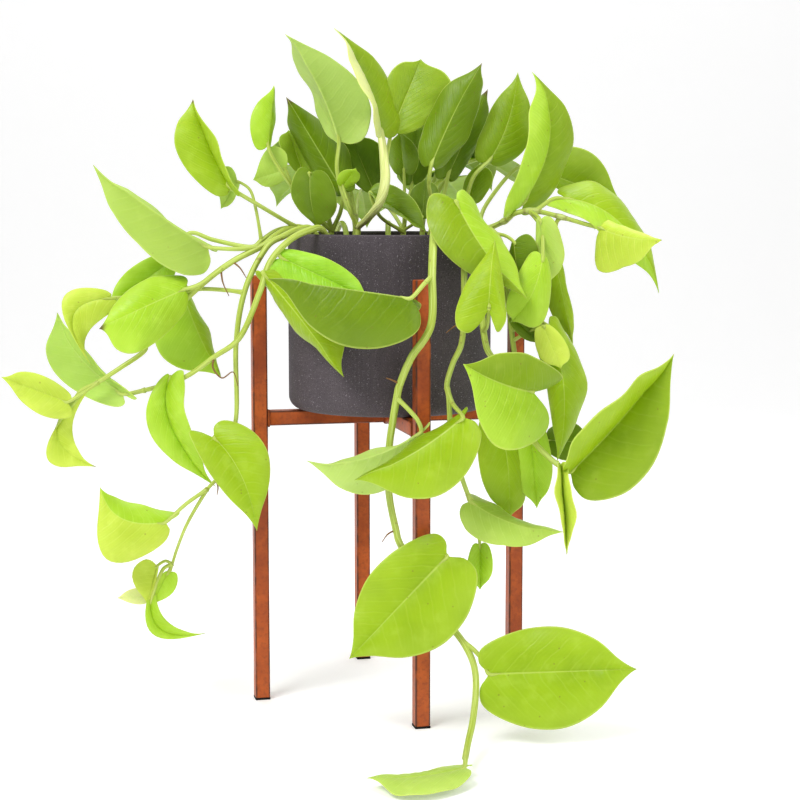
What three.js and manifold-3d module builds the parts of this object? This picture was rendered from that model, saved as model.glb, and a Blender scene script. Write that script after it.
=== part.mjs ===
// A golden pothos in a charcoal pot, on a rust-brown stand of square steel tube.
// Millimetres, +Z up. While it is drawn, the floor is z = 0 and the pot's axis is x = y = 0.
// X runs to the right and Y runs away from the front, so "forward" is -Y.

import * as THREE from 'three';
import { mergeVertices } from 'three/addons/utils/BufferGeometryUtils.js';
import Module from 'manifold-3d';

const wasm = await Module();
wasm.setup();

// Driving dimensions
const GAP = 0.3;
const MERGE = 0.01;
const TUBE = 15;
const TUBE_WALL = 1.5;
const STAND_HEIGHT = 435.6;
const LEG_REACH = 135.3;
const STAND_YAW = THREE.MathUtils.degToRad(13.4);
const BAR_BOTTOM = 283.8;
const FOOT_PAD = 2;
const FOOT_PLUG = 14;
const FOOT_PLUG_HOLLOW = 1.8;
const LEG_CAP = 1.5;

const POT_RADIUS = 103.5;
const POT_HEIGHT = 178.3;
const POT_WALL = 5;
const POT_FLOOR = 7;
const POT_FOOT_ROUND = 13;
const RIM_ROUND = 2.4;
const POT_SIDES = 32;
const SOIL_BELOW_RIM = 19;
const ROOT_DEPTH = 24;
const HOLE_CLEARANCE = 0.4;

const BLADE_THICKNESS = 0.8;
const BLADE_HALF_WIDTH = 0.39;
const STALK_RADIUS = [2, 1.6];
const STALK_SINK = 0.08;
const STEM_SIDES = 5;
const STALK_SIDES = 4;
const HOLE_SIDES = 6;

// How far apart the rings of a tube stand at most, and how far a stem stays upright on the soil
const STEM_STEP = 40;
const STALK_STEP = 60;
const COLLAR = 5;
const SHORTEST_STEP = 1.5;

// A blade has more rows from the first length on, and more columns from the second
const BLADE_ROWS = { few: 5, many: 6, from: 90 };
const BLADE_COLUMNS = { few: 1, many: 2, from: 124 };
const SHARPEST_FOLD = 0.6;

// Worked out from them
const BAR_TOP = BAR_BOTTOM + TUBE;
const POT_BOTTOM = BAR_TOP + GAP;
const POT_TOP = POT_BOTTOM + POT_HEIGHT;
const SOIL_TOP = POT_TOP - SOIL_BELOW_RIM;
const BAR_END = LEG_REACH - TUBE / 2 - GAP;

const COLOURS = {
  steel: { color: 0xa05228, roughness: 0.5, metalness: 0.35 },
  foot: { color: 0x1c1a1a, roughness: 0.8, metalness: 0 },
  pot: { color: 0x50494d, roughness: 0.9, metalness: 0 },
  soil: { color: 0x33261c, roughness: 1, metalness: 0 },
  leaf: { color: 0x9cc42c, roughness: 0.5, metalness: 0 },
};

// The plant is laid out as it is seen from a standing viewpoint in front of the pot. A point
// [column, row, forward] lies on the sight line through that column and row of an 800 x 800
// picture, at that distance in front of the pot's axis.
const VIEW = {
  focal: 1784,
  centre: 400,
  pitch: THREE.MathUtils.degToRad(6.5),
  eye: new THREE.Vector3(10.7, -1826, 514),
};

function sightLine(column, row) {
  const right = (column - VIEW.centre) / VIEW.focal;
  const up = (VIEW.centre - row) / VIEW.focal;
  return new THREE.Vector3(
    right,
    Math.cos(VIEW.pitch) + up * Math.sin(VIEW.pitch),
    up * Math.cos(VIEW.pitch) - Math.sin(VIEW.pitch),
  );
}

function seen([column, row, forward]) {
  const line = sightLine(column, row);
  const reach = (-VIEW.eye.y - forward) / line.y;
  return VIEW.eye.clone().addScaledVector(line, reach);
}

// Each leaf has its base, its tip, the midrib's halfway point where that is bent, and the points
// where its two edges show: [column, row, lift], with the lift's sign saying whether that edge
// stands nearer than the midrib or further back, and its size how much of the half width does.
// A stalk lists the points that the leaf's stalk passes on its way from the stem. A sheath is how
// much thicker the stalk is halfway, in millimetres.
const SPRAYS = [
  {
    name: 'spray_crown_tall', radius: [3.4, 2.8],
    stem: [
      [358, 262, 14], [358, 236, 16], [358, 222, 18],
    ],
    leaves: [
      {
        base: [339, 142, 12], tip: [285, 34, 25], mid: [317, 84, 10],
        edges: [[371, 108, -0.3], [313, 104, -0.9]], face: -1, lobe: 0.2,
        stalk: [[358, 228, 17], [345, 200, 16], [337, 170, 16]],
      },
      {
        base: [381, 134, 30], tip: [334, 28, 30], mid: [366, 81, 24],
        edges: [[401, 107, -0.75], [369, 106, 0.95]], lobe: 0.4,
        stalk: [[358, 224, 18], [367, 219, 40], [379, 203, 60], [385, 182, 60], [384, 158, 40]],
        sheath: 2.9,
      },
      {
        base: [391, 133, 12], tip: [421, 59, -10], edges: [[384, 88, -0.2], [446, 104, -0.2]],
        lobe: 0.6, stalk: [[358, 224, 18], [376, 205, 52], [383, 182, 54], [387, 156, 32]],
      },
      {
        base: [343, 186, 28], tip: [356, 168, 40], edges: [[338, 176, 0], [357, 182, 0]],
        stalk: [[357, 230, 20], [350, 208, 27]],
      },
    ],
  },
  {
    name: 'spray_crown_left', radius: [3.2, 2.6],
    stem: [
      [330, 262, -6], [331, 240, -6], [332, 226, -6],
    ],
    leaves: [
      {
        base: [343, 191, -8], tip: [286, 97, -22], mid: [314, 143, -16],
        edges: [[309, 170, -0.5], [348, 155, -0.7]], lobe: 0.5,
      },
      { base: [303, 173, -28], tip: [288, 130, -38], edges: [[282, 152, 0], [318, 150, 0]] },
      {
        base: [310, 173, 18], tip: [318, 229, 20], mid: [311, 202, 22],
        edges: [[291, 186, 0.3], [336, 194, 0]],
      },
      {
        base: [268, 146, 10], tip: [274, 85, 5], edges: [[250, 128, 0], [273, 128, -0.95]],
        stalk: [[325, 226, 0], [296, 192, 6], [274, 160, 10]],
      },
      {
        base: [286, 170, -6], tip: [253, 180, -10], edges: [[275, 146, 0], [277, 185, 0]],
        stalk: [[322, 228, -2], [302, 205, -4]],
      },
    ],
  },
  {
    name: 'spray_crown_middle', radius: [3.2, 2.6],
    stem: [
      [402, 262, -12], [403, 240, -12], [404, 224, -10],
    ],
    leaves: [
      { base: [404, 172, -5], tip: [400, 131, -20], edges: [[388, 160, 0], [419, 160, 0]] },
      {
        base: [370, 193, 28], tip: [427, 233, 46], edges: [[388, 209, 0.6], [399, 188, -0.2]],
        lobe: 0.5, stalk: [[402, 232, -8], [380, 216, 22]],
      },
      { base: [374, 192, -40], tip: [350, 134, -50], edges: [[342, 165, 0], [388, 160, 0]] },
      { base: [412, 184, -42], tip: [418, 120, -52], edges: [[396, 154, 0], [436, 152, 0]] },
      { base: [422, 218, 5], tip: [426, 178, -5], edges: [[409, 202, 0], [438, 200, 0]] },
    ],
  },
  {
    name: 'spray_crown_right', radius: [3.2, 2.6],
    stem: [
      [438, 262, -8], [437, 240, -8], [436, 222, -4],
    ],
    leaves: [
      {
        base: [431, 166, 34], tip: [482, 63, 26], mid: [454, 113, 31],
        edges: [[424, 124, -0.4], [468, 134, -0.6]], lobe: 0.5,
        stalk: [[436, 228, -4], [433, 205, 12], [429, 185, 26]],
      },
      {
        base: [448, 176, -20], tip: [488, 89, -32], edges: [[440, 143, -0.3], [476, 150, -0.3]],
        stalk: [[438, 226, -6], [443, 200, -16]],
      },
    ],
  },
  {
    name: 'spray_crown_far_right', radius: [3.2, 2.6],
    stem: [
      [450, 262, -32], [455, 240, -28], [460, 224, -20],
    ],
    leaves: [
      {
        base: [489, 161, 5], tip: [518, 72, -5], mid: [508, 122, 5],
        edges: [[479, 136, -0.3], [525, 148, -0.3]], lobe: 0.6,
        stalk: [[460, 226, -20], [466, 200, -6], [474, 176, 3]],
      },
      {
        base: [470, 203, -22], tip: [480, 163, -38], edges: [[463, 188, 0], [491, 186, 0]],
        stalk: [[459, 228, -20], [465, 214, -24]],
      },
    ],
  },
  {
    name: 'spray_vine_right', radius: [3.6, 2],
    stem: [
      [446, 262, -10], [466, 230, -6], [488, 228, 6], [506, 220, 28], [516, 213, 40], [535, 211, 44],
      [561, 217, 48], [585, 224, 52], [600, 228, 56],
    ],
    leaves: [
      {
        base: [523, 203, 35], tip: [532, 72, 45], mid: [550, 134, 40],
        edges: [[518, 172, 0.4], [567, 168, -0.4]], width: 1.15, stalk: [[500, 224, 30], [509, 212, 34]],
      },
      {
        base: [566, 199, 38], tip: [659, 293, 55], mid: [622, 225, 44],
        edges: [[604, 187, -0.8], [578, 218, 0.3]], stalk: [[535, 211, 44], [553, 199, 42]],
      },
      {
        base: [600, 228, 56], tip: [662, 240, 112], mid: [632, 238, 90],
        edges: [[622, 221, -0.6], [608, 286, 0]], lobe: 0.3, taper: 0.45, stalk: [],
      },
      {
        base: [548, 174, -10], tip: [620, 200, -30], edges: [[576, 147, -0.2], [575, 198, -0.2]],
        stalk: [[478, 229, 1], [486, 205, -8], [513, 171, -12], [531, 167, -12]],
      },
      {
        base: [540, 220, 74], tip: [546, 288, 80], edges: [[536, 246, 0], [563, 242, -0.4]],
        stalk: [[530, 212, 44], [537, 216, 60]],
      },
      {
        base: [543, 256, 94], tip: [511, 322, 110], mid: [532, 294, 116],
        edges: [[513, 284, 0], [549, 307, 0]], width: 1.15, stalk: [[530, 212, 44], [541, 228, 66]],
      },
      { base: [553, 250, 40], tip: [573, 345, 45], edges: [[545, 285, -0.3], [566, 282, -0.3]] },
    ],
  },
  {
    name: 'spray_vine_third', radius: [3.8, 2.6],
    stem: [
      [452, 262, 30], [466, 228.5, 56], [479, 229, 80], [482, 260, 104], [481, 300, 116],
      [486, 345, 126], [497, 365, 128], [515, 405, 134], [533, 440, 142], [552, 460, 154],
      [566, 470, 164],
    ],
    leaves: [
      {
        base: [456, 201, 112], tip: [527, 299, 140], mid: [486, 253, 132],
        edges: [[430, 232, 0], [490, 224, -0.8]], stalk: [[481, 238, 84], [466, 214, 100]],
      },
      {
        base: [489, 309, 165], tip: [495, 240, 137], mid: [491, 272, 160],
        edges: [[455, 322, 0.3], [505, 320, 0.3]], stalk: [[483, 330, 124], [487, 326, 146]],
      },
      {
        base: [533, 392, 152], tip: [463, 364, 195], mid: [498, 382, 180],
        edges: [[509, 450, 0.1], [534, 357, -0.6]], lobe: 3.2,
      },
      {
        base: [570, 472, 166], tip: [674, 354, 170], mid: [624, 416, 162],
        edges: [[589, 424, 0.8], [630, 490, 0]], lobe: 0.4, stalk: [],
      },
      {
        base: [560, 468, 162], tip: [567, 555, 166], mid: [563, 512, 170],
        edges: [[557, 490, 0.9], [573, 494, 0.8]], stalk: [],
      },
    ],
  },
  {
    name: 'spray_vine_fourth', radius: [3.4, 2.2],
    stem: [
      [450, 262, 12], [472, 229, 24], [490, 229.5, 42], [503, 250, 72], [508, 300, 92], [514, 350, 100],
      [520, 390, 102], [532, 430, 104], [548, 448, 104],
    ],
    leaves: [
      {
        base: [514, 242, 76], tip: [524, 299, 80], mid: [517, 268, 78],
        edges: [[511, 262, -0.9], [538, 246, 0]], stalk: [[495, 234, 50], [506, 236, 62]],
      },
      { base: [513, 318, 105], tip: [541, 344, 112], edges: [[516, 332, 0], [536, 325, 0]] },
      {
        base: [548, 326, 112], tip: [557, 461, 118], mid: [564, 392, 126],
        edges: [[540, 352, -0.3], [580, 360, -0.5]],
      },
      {
        base: [543, 326, 120], tip: [561, 369, 134], edges: [[536, 348, 0], [566, 343, 0]],
        stalk: [[514, 340, 98], [530, 331, 108]],
      },
      {
        base: [498, 415, 114], tip: [508, 520, 122], mid: [508, 468, 122],
        edges: [[478, 455, 0], [524, 462, -0.5]],
      },
      { base: [530, 418, 112], tip: [537, 509, 116], edges: [[514, 455, 0], [551, 452, 0]] },
      { base: [548, 440, 92], tip: [591, 443, 96], edges: [[565, 422, 0], [562, 460, 0]] },
    ],
  },
  {
    name: 'spray_vine_second', radius: [3.6, 2.2],
    stem: [
      [448, 262, 48], [457, 228.5, 76], [463, 230, 100], [464, 250, 114], [464, 300, 122],
      [462, 341, 130], [453, 363, 134], [447, 384, 138], [449, 400, 140], [451, 440, 140],
      [457, 462, 142], [464, 484, 146], [470, 500, 150],
    ],
    leaves: [
      {
        base: [463, 417, 190], tip: [355, 480, 186], mid: [412, 454, 196],
        edges: [[431, 433, -0.6], [459, 482, 0]], stalk: [[446, 388, 139], [453, 404, 158]],
      },
      {
        base: [470, 501, 150], tip: [563, 532, 160], mid: [514, 524, 158],
        edges: [[497, 505, -0.95], [484, 550, 0]], width: 1.12, taper: 0.35, stalk: [],
      },
      { base: [480, 545, 140], tip: [480, 590, 142], edges: [[467, 562, 0.3], [493, 560, 0.3]] },
    ],
  },
  {
    name: 'spray_vine_front', radius: [4, 3],
    stem: [
      [428, 262, 58], [433, 228.5, 86], [434, 229, 106], [433, 248, 128], [432, 274, 152],
      [431, 325, 156], [411, 358, 152], [400, 384, 146], [397, 397, 144], [393, 420, 142],
      [389, 451, 140], [389, 493, 140], [396, 530, 142], [402, 548, 144], [430, 600, 150],
      [454, 630, 158], [466, 647, 164], [474, 666, 172], [476, 688, 184], [473, 719, 210],
      [468, 743, 242], [465, 759, 272],
    ],
    leaves: [
      {
        base: [411, 298, 168], tip: [268, 279, 154], mid: [340, 288, 167],
        edges: [[372, 312, -0.85], [370, 349, 0]], stalk: [[432, 276, 152], [424, 284, 163]],
      },
      {
        base: [421, 432, 166], tip: [307, 461, 152], mid: [364, 459, 162],
        edges: [[392, 445, -0.45], [393, 486, 0]], face: -1,
        stalk: [[398, 398, 145], [409, 410, 156], [418, 421, 164]],
      },
      { base: [447, 556, 160], tip: [349, 659, 165], edges: [[389, 555, 0], [463, 623, 0]] },
      {
        base: [489, 674, 178], tip: [637, 669, 185], edges: [[530, 628, 0], [534, 729, 0]],
        stalk: [[462, 641, 162], [474, 650, 168], [484, 662, 174]],
      },
      {
        base: [464, 768, 298], tip: [367, 778, 316], mid: [415, 777, 313],
        edges: [[440, 770, -0.7], [436, 794, 0.95]], width: 1.2, stalk: [],
      },
    ],
  },
  {
    name: 'spray_vine_left_upper', radius: [3.6, 2.2],
    stem: [
      [318, 262, 2], [304, 229, 12], [290, 228.5, 24], [275, 236, 44], [262, 246, 60], [230, 263, 70],
      [198, 288, 66], [150, 335, 60], [144, 351, 66], [120, 368, 74], [86, 390, 80],
    ],
    leaves: [
      {
        base: [208, 247, 70], tip: [93, 165, 70], mid: [149, 208, 85],
        edges: [[177, 224, -0.95], [153, 267, 0]], face: -1, taper: 0.25,
        stalk: [[262, 247, 66], [235, 249, 70]],
      },
      {
        base: [111, 298, 64], tip: [92, 366, 80], mid: [73, 317, 71],
        edges: [[72, 290, 0], [98, 322, 0]], width: 1.1, lobe: 0.3,
        stalk: [[196, 290, 66], [150, 296, 58]],
      },
      {
        base: [82, 390, 84], tip: [97, 467, 85], mid: [57, 436, 85],
        edges: [[50, 439, 0], [76, 412, 0]], lobe: 0.3, stalk: [],
      },
      {
        base: [67, 402, 92], tip: [1, 377, 112], edges: [[48, 378, 0], [50, 418, 0]],
        stalk: [[88, 389, 80], [78, 396, 88]],
      },
      {
        base: [185, 289, 75], tip: [99, 329, 100], mid: [142, 308, 98],
        edges: [[150, 279, -0.4], [152, 345, 0]], stalk: [[222, 268, 69], [200, 284, 74]],
      },
      {
        base: [231, 188, 56], tip: [193, 99, 46], mid: [208, 142, 56],
        edges: [[184, 166, -0.2], [226, 165, 0.4]], stalk: [[297, 228, 18], [262, 207, 48]],
      },
    ],
  },
  {
    name: 'spray_vine_left_long', radius: [3.6, 1.4],
    stem: [
      [322, 262, 30], [312, 229.5, 40], [300, 229, 50], [284, 236, 66], [266, 248, 78], [245, 290, 78],
      [236, 345, 74], [236, 418, 80], [222, 470, 84], [207, 490, 86], [188, 522, 84], [177, 549, 80],
      [170, 572, 80],
    ],
    leaves: [
      {
        base: [183, 293, 36], tip: [221, 377, 34], mid: [200, 337, 40],
        edges: [[154, 338, 0], [200, 314, -0.7]],
        stalk: [[243, 292, 77], [225, 290, 62], [200, 289, 46]],
      },
      {
        base: [214, 438, 95], tip: [257, 531, 105], mid: [242, 477, 105],
        edges: [[199, 455, 0], [258, 436, 0]], lobe: 1.4,
      },
      {
        base: [166, 522, 92], tip: [100, 487, 95], mid: [121, 518, 105],
        edges: [[150, 508, -0.8], [122, 563, 0]], stalk: [[207, 488, 86], [186, 504, 90]],
      },
      { base: [157, 566, 80], tip: [147, 604, 85], edges: [[134, 568, 0], [156, 582, 0]] },
      { base: [168, 573, 80], tip: [152, 605, 82], edges: [[156, 583, 0], [177, 585, 0]], stalk: [] },
      { base: [148, 596, 78], tip: [117, 598, 75], edges: [[140, 588, 0], [144, 604, 0]] },
      {
        base: [151, 600, 84], tip: [206, 633, 88], mid: [163, 631, 90],
        edges: [[147, 626, 0], [161, 613, 0]],
      },
    ],
  },
  {
    name: 'spray_vine_left_front', radius: [3.6, 2.2],
    stem: [
      [332, 262, 54], [322, 229.5, 68], [310, 230, 82], [290, 240, 96], [270, 262, 99], [259, 294, 97],
      [240, 337, 96], [214, 357, 86], [179, 380, 72], [126, 395, 66],
    ],
    leaves: [
      {
        base: [123, 394, 66], tip: [57, 312, 58], mid: [77, 353, 60],
        edges: [[68, 386, -0.2], [103, 370, 0.3]], face: -1, stalk: [],
      },
      {
        base: [170, 377, 71], tip: [216, 487, 72], mid: [172, 427, 74],
        edges: [[146, 414, 0], [185, 402, 0.3]],
      },
      { base: [282, 258, 98], tip: [372, 300, 122], edges: [[322, 257, 0], [290, 292, 0]] },
      {
        base: [263, 273, 102], tip: [344, 377, 128], mid: [306, 326, 114],
        edges: [[277, 303, -0.7], [318, 292, -0.2]], lobe: 0.4,
      },
    ],
  },
  {
    name: 'spray_vine_left_high', radius: [3, 2],
    stem: [
      [324, 262, -28], [308, 229, -18], [292, 227.5, -4], [276, 231, 16], [262, 240, 42],
      [250, 247, 46], [214, 240, 32], [190, 233, 22], [172, 250, 20],
    ],
    leaves: [
      { base: [170, 262, 20], tip: [106, 308, 28], edges: [[140, 262, 0], [155, 300, 0]], stalk: [] },
      {
        base: [237, 181, 37], tip: [221, 209, 30], edges: [[222, 168, 0], [236, 196, 0]],
        stalk: [[264, 240, 45], [256, 210, 43], [250, 190, 40]],
      },
    ],
  },
];

// The far side of the plant, in millimetres as [x, back, z]: two tufts that lean away from the
// front, and three short vines over the back of the rim, their leaves set left and right by turns.
const REAR_TUFTS = [
  { name: 'spray_rear_tuft_left', root: [-36, 44], leaves: 4, turn: [-62, 4], height: [74, 38] },
  { name: 'spray_rear_tuft_right', root: [34, 46], leaves: 4, turn: [2, 64], height: [40, 70] },
];
const REAR_TUFT = {
  radius: [3.2, 2.6], stem: 38, bend: 0.4, reach: [44, 62], length: [86, 98], drop: 0.42,
  cup: [0.35, 0.15], lower: 14, bow: { along: 0.55, up: 0.75 },
};
const REAR_VINES = [
  { name: 'spray_rear_vine_left', root: [-44, 56], rim: [-54, 92], out: [-62, 122], leaves: 3 },
  { name: 'spray_rear_vine_middle', root: [-2, 68], rim: [-2, 106], out: [-2, 164], leaves: 3 },
  { name: 'spray_rear_vine_right', root: [44, 58], rim: [52, 94], out: [58, 124], leaves: 3 },
];
const REAR_VINE = {
  radius: [3.2, 2], crest: 6, foot: 318, side: 16, outward: 32, length: [72, 62],
  rise: 5, hang: 24, lift: 8, cup: 0.2, lean: 0.1, slant: { side: 0.3, back: 0.35, down: 0.85 },
  lowest: 288, bend: 0.4, end: { narrowed: 0.9, back: 6 }, first: 0.3,
};
const REAR_BEND = 0.1;
const REAR_FACING = 0.3;

// The heart shape of half a blade: how far along the midrib and how far out each point lies, per
// length of leaf, from the base round the lobe to the tip. A smooth curve passes through them.
const HEART = new THREE.CatmullRomCurve3(
  [
    [0, 0],
    [-0.07, 0.1],
    [-0.06, 0.22],
    [0.07, 0.32],
    [0.27, 0.39],
    [0.5, 0.385],
    [0.72, 0.27],
    [0.88, 0.09],
    [1, 0],
  ].map(([along, out]) => new THREE.Vector3(along, out, 0)),
  false,
  'catmullrom',
);
const WIDEST = 0.27;

function material(name) {
  return new THREE.MeshStandardMaterial(COLOURS[name]);
}

function solidOf(geometry) {
  const bare = geometry.index ? geometry.toNonIndexed() : geometry.clone();
  bare.deleteAttribute('normal');
  bare.deleteAttribute('uv');
  const merged = mergeVertices(bare, 1e-4);
  return new wasm.Manifold(
    new wasm.Mesh({
      numProp: 3,
      vertProperties: new Float32Array(merged.attributes.position.array),
      triVerts: new Uint32Array(merged.index.array),
      tolerance: MERGE,
    }),
  );
}

function geometryOf(solid) {
  const mesh = solid.getMesh();
  const geometry = new THREE.BufferGeometry();
  geometry.setAttribute('position', new THREE.BufferAttribute(mesh.vertProperties.slice(), 3));
  geometry.setIndex(new THREE.BufferAttribute(mesh.triVerts.slice(), 1));
  geometry.computeVertexNormals();
  return geometry;
}

function named(name, geometry, look) {
  const mesh = new THREE.Mesh(geometry, material(look));
  mesh.name = name;
  return mesh;
}

function square(side) {
  const half = side / 2;
  return new THREE.Shape([
    new THREE.Vector2(-half, -half),
    new THREE.Vector2(half, -half),
    new THREE.Vector2(half, half),
    new THREE.Vector2(-half, half),
  ]);
}

function prism(side, bottom, top) {
  const geometry = new THREE.ExtrudeGeometry(square(side), { depth: top - bottom, bevelEnabled: false });
  return geometry.translate(0, 0, bottom);
}

// The stand: four legs, a bar across from side to side, and a half bar to the front and the back
function legGeometry() {
  const outside = solidOf(prism(TUBE, FOOT_PAD + GAP, STAND_HEIGHT));
  const inside = solidOf(prism(TUBE - 2 * TUBE_WALL, 0, STAND_HEIGHT - LEG_CAP));
  return geometryOf(outside.subtract(inside));
}

function footGeometry() {
  const bore = TUBE - 2 * TUBE_WALL - 2 * GAP;
  const pad = solidOf(prism(TUBE, 0, FOOT_PAD));
  const plug = solidOf(prism(bore, FOOT_PAD / 2, FOOT_PLUG));
  const hollow = solidOf(prism(bore - 2 * FOOT_PLUG_HOLLOW, FOOT_PAD, FOOT_PLUG + 1));
  return geometryOf(pad.add(plug).subtract(hollow));
}

function barGeometry(from, to) {
  const section = square(TUBE);
  section.holes.push(square(TUBE - 2 * TUBE_WALL));
  const geometry = new THREE.ExtrudeGeometry(section, { depth: to - from, bevelEnabled: false });
  return geometry.rotateY(Math.PI / 2).translate(from, 0, BAR_BOTTOM + TUBE / 2);
}

function buildStand() {
  const stand = new THREE.Group();
  const turns = { right: 0, back: 1, left: 2, front: 3 };
  for (const [side, quarter] of Object.entries(turns)) {
    const corner = new THREE.Group();
    corner.rotation.z = (quarter * Math.PI) / 2;
    const leg = named(`leg_${side}`, legGeometry(), 'steel');
    const foot = named(`foot_${side}`, footGeometry(), 'foot');
    leg.position.x = LEG_REACH;
    foot.position.x = LEG_REACH;
    corner.add(leg, foot);
    if (side === 'front' || side === 'back') {
      corner.add(named(`crossbar_${side}`, barGeometry(TUBE / 2 + GAP, BAR_END), 'steel'));
    }
    stand.add(corner);
  }
  stand.add(named('crossbar_main', barGeometry(-BAR_END, BAR_END), 'steel'));
  stand.rotation.z = STAND_YAW;
  return stand;
}

// The pot: a turned shell with a rounded foot and a rounded lip
function arcPoints(centreX, centreZ, radius, from, to, steps) {
  return Array.from({ length: steps + 1 }, (_, step) => {
    const angle = from + ((to - from) * step) / steps;
    return new THREE.Vector2(centreX + radius * Math.cos(angle), centreZ + radius * Math.sin(angle));
  });
}

function potGeometry() {
  const inside = POT_RADIUS - POT_WALL;
  const quarter = Math.PI / 2;
  const profile = [
    new THREE.Vector2(0, 0),
    ...arcPoints(POT_RADIUS - POT_FOOT_ROUND, POT_FOOT_ROUND, POT_FOOT_ROUND, -quarter, 0, 3),
    ...arcPoints(POT_RADIUS - RIM_ROUND, POT_HEIGHT - RIM_ROUND, RIM_ROUND, 0, quarter, 1),
    ...arcPoints(inside + RIM_ROUND, POT_HEIGHT - RIM_ROUND, RIM_ROUND, quarter, 2 * quarter, 1),
    new THREE.Vector2(inside, POT_FLOOR + POT_FOOT_ROUND),
    new THREE.Vector2(inside - POT_FOOT_ROUND, POT_FLOOR),
    new THREE.Vector2(0, POT_FLOOR),
  ];
  return new THREE.LatheGeometry(profile, POT_SIDES).rotateX(Math.PI / 2);
}

function buildPot() {
  const pot = named('pot', geometryOf(solidOf(potGeometry())), 'pot');
  pot.position.z = POT_BOTTOM;
  return pot;
}

// The soil fills the pot to a little under the rim, with a plain hole for each stem
function buildSoil(roots) {
  const inside = POT_RADIUS - POT_WALL - GAP;
  const floor = POT_BOTTOM + POT_FLOOR + GAP;
  const profile = [
    new THREE.Vector2(0, floor),
    new THREE.Vector2(inside - POT_FOOT_ROUND, floor),
    new THREE.Vector2(inside, floor + POT_FOOT_ROUND),
    new THREE.Vector2(inside, SOIL_TOP),
    new THREE.Vector2(0, SOIL_TOP),
  ];
  let soil = solidOf(new THREE.LatheGeometry(profile, POT_SIDES).rotateX(Math.PI / 2));
  for (const root of roots) {
    const radius = (root.radius + HOLE_CLEARANCE) / Math.cos(Math.PI / HOLE_SIDES);
    const hole = new THREE.CylinderGeometry(radius, radius, 2 * ROOT_DEPTH, HOLE_SIDES).rotateX(Math.PI / 2);
    hole.translate(root.x, root.y, SOIL_TOP + GAP);
    soil = soil.subtract(solidOf(hole));
  }
  return named('soil', geometryOf(soil), 'soil');
}

// A closed tube along a smooth path, tapering from one radius to another. A sharpened tube runs
// out to a point at its far end, and a swelling one is that much thicker halfway.
function tubeSolid(points, [from, to], sides, longest, { sharpened = false, swell = 0 } = {}) {
  const path = new THREE.CatmullRomCurve3(points, false, 'catmullrom');
  const stations = [0];
  for (let span = 0; span < points.length - 1; span += 1) {
    const steps = Math.ceil(points[span].distanceTo(points[span + 1]) / longest);
    for (let step = 1; step <= steps; step += 1) {
      stations.push((span + step / steps) / (points.length - 1));
    }
  }
  const centres = stations.map((station) => path.getPoint(station));
  const rings = centres.length - (sharpened ? 1 : 0);
  const position = [];
  const index = [];
  const across = new THREE.Vector3(0, 1, 0);
  for (let ring = 0; ring < rings; ring += 1) {
    const next = centres[Math.min(ring + 1, centres.length - 1)];
    const along = next.clone().sub(centres[Math.max(ring - 1, 0)]).normalize();
    if (ring === 0 && Math.abs(along.y) > 0.99) across.set(1, 0, 0);
    across.addScaledVector(along, -across.dot(along)).normalize();
    const beside = along.clone().cross(across);
    const share = ring / (centres.length - 1);
    const radius = mix(from, to, share) + swell * Math.sin(Math.PI * share);
    for (let side = 0; side < sides; side += 1) {
      const angle = (2 * Math.PI * side) / sides;
      const corner = centres[ring].clone().addScaledVector(across, radius * Math.cos(angle));
      position.push(...corner.addScaledVector(beside, radius * Math.sin(angle)).toArray());
      const here = ring * sides + side;
      const beyond = ring * sides + ((side + 1) % sides);
      if (ring > 0) index.push(here - sides, beyond - sides, beyond, here - sides, beyond, here);
    }
  }
  const end = (rings - 1) * sides;
  for (let side = 2; side < sides; side += 1) {
    index.push(0, side, side - 1);
    if (!sharpened) index.push(end, end + side - 1, end + side);
  }
  if (sharpened) {
    position.push(...centres[rings].toArray());
    for (let side = 0; side < sides; side += 1) {
      index.push(end + side, end + ((side + 1) % sides), end + sides);
    }
  }
  return meshSolid(position, index);
}

function meshSolid(position, index) {
  return new wasm.Manifold(
    new wasm.Mesh({
      numProp: 3,
      vertProperties: new Float32Array(position),
      triVerts: new Uint32Array(index),
      tolerance: MERGE,
    }),
  );
}

// The midrib is a curve through base, halfway point and tip. Each half of the blade is carried
// from the midrib towards its edge, swelling a little between them and waving along the edge.
const PUFF = 0.03;
const WAVE = { height: 0.024, turns: 2.4, shift: 2 };
const TIP_CURL = { from: 0.7, height: 0.02 };
const LOBE_DEPTH = 0.09;
const TAPER = { from: 0.35, over: 0.25, end: 0.1 };

function bladeFrame({ base, tip, mid, edges, towards, face = 1, width = 1 }) {
  const halfway = base.clone().add(tip).multiplyScalar(0.5);
  const middle = mid ?? halfway;
  const pull = middle.clone().multiplyScalar(2).sub(halfway);
  const midrib = new THREE.QuadraticBezierCurve3(base, pull, tip);
  const length = base.distanceTo(tip);
  const along = tip.clone().sub(base).normalize();
  const widest = midrib.getPoint(WIDEST);
  const outward = edges.map((edge) => edge(widest, BLADE_HALF_WIDTH * width * length));
  const upward = [along.clone().cross(outward[0]), outward[1].clone().cross(along)];
  const facing = towards ?? VIEW.eye.clone().sub(widest).multiplyScalar(face);
  const sign = upward[0].clone().add(upward[1]).dot(facing) > 0 ? 1 : -1;
  for (const normal of upward) normal.normalize().multiplyScalar(sign);
  const curl = upward[0].clone().add(upward[1]).normalize();
  return { midrib, length, outward, upward, curl };
}

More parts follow.
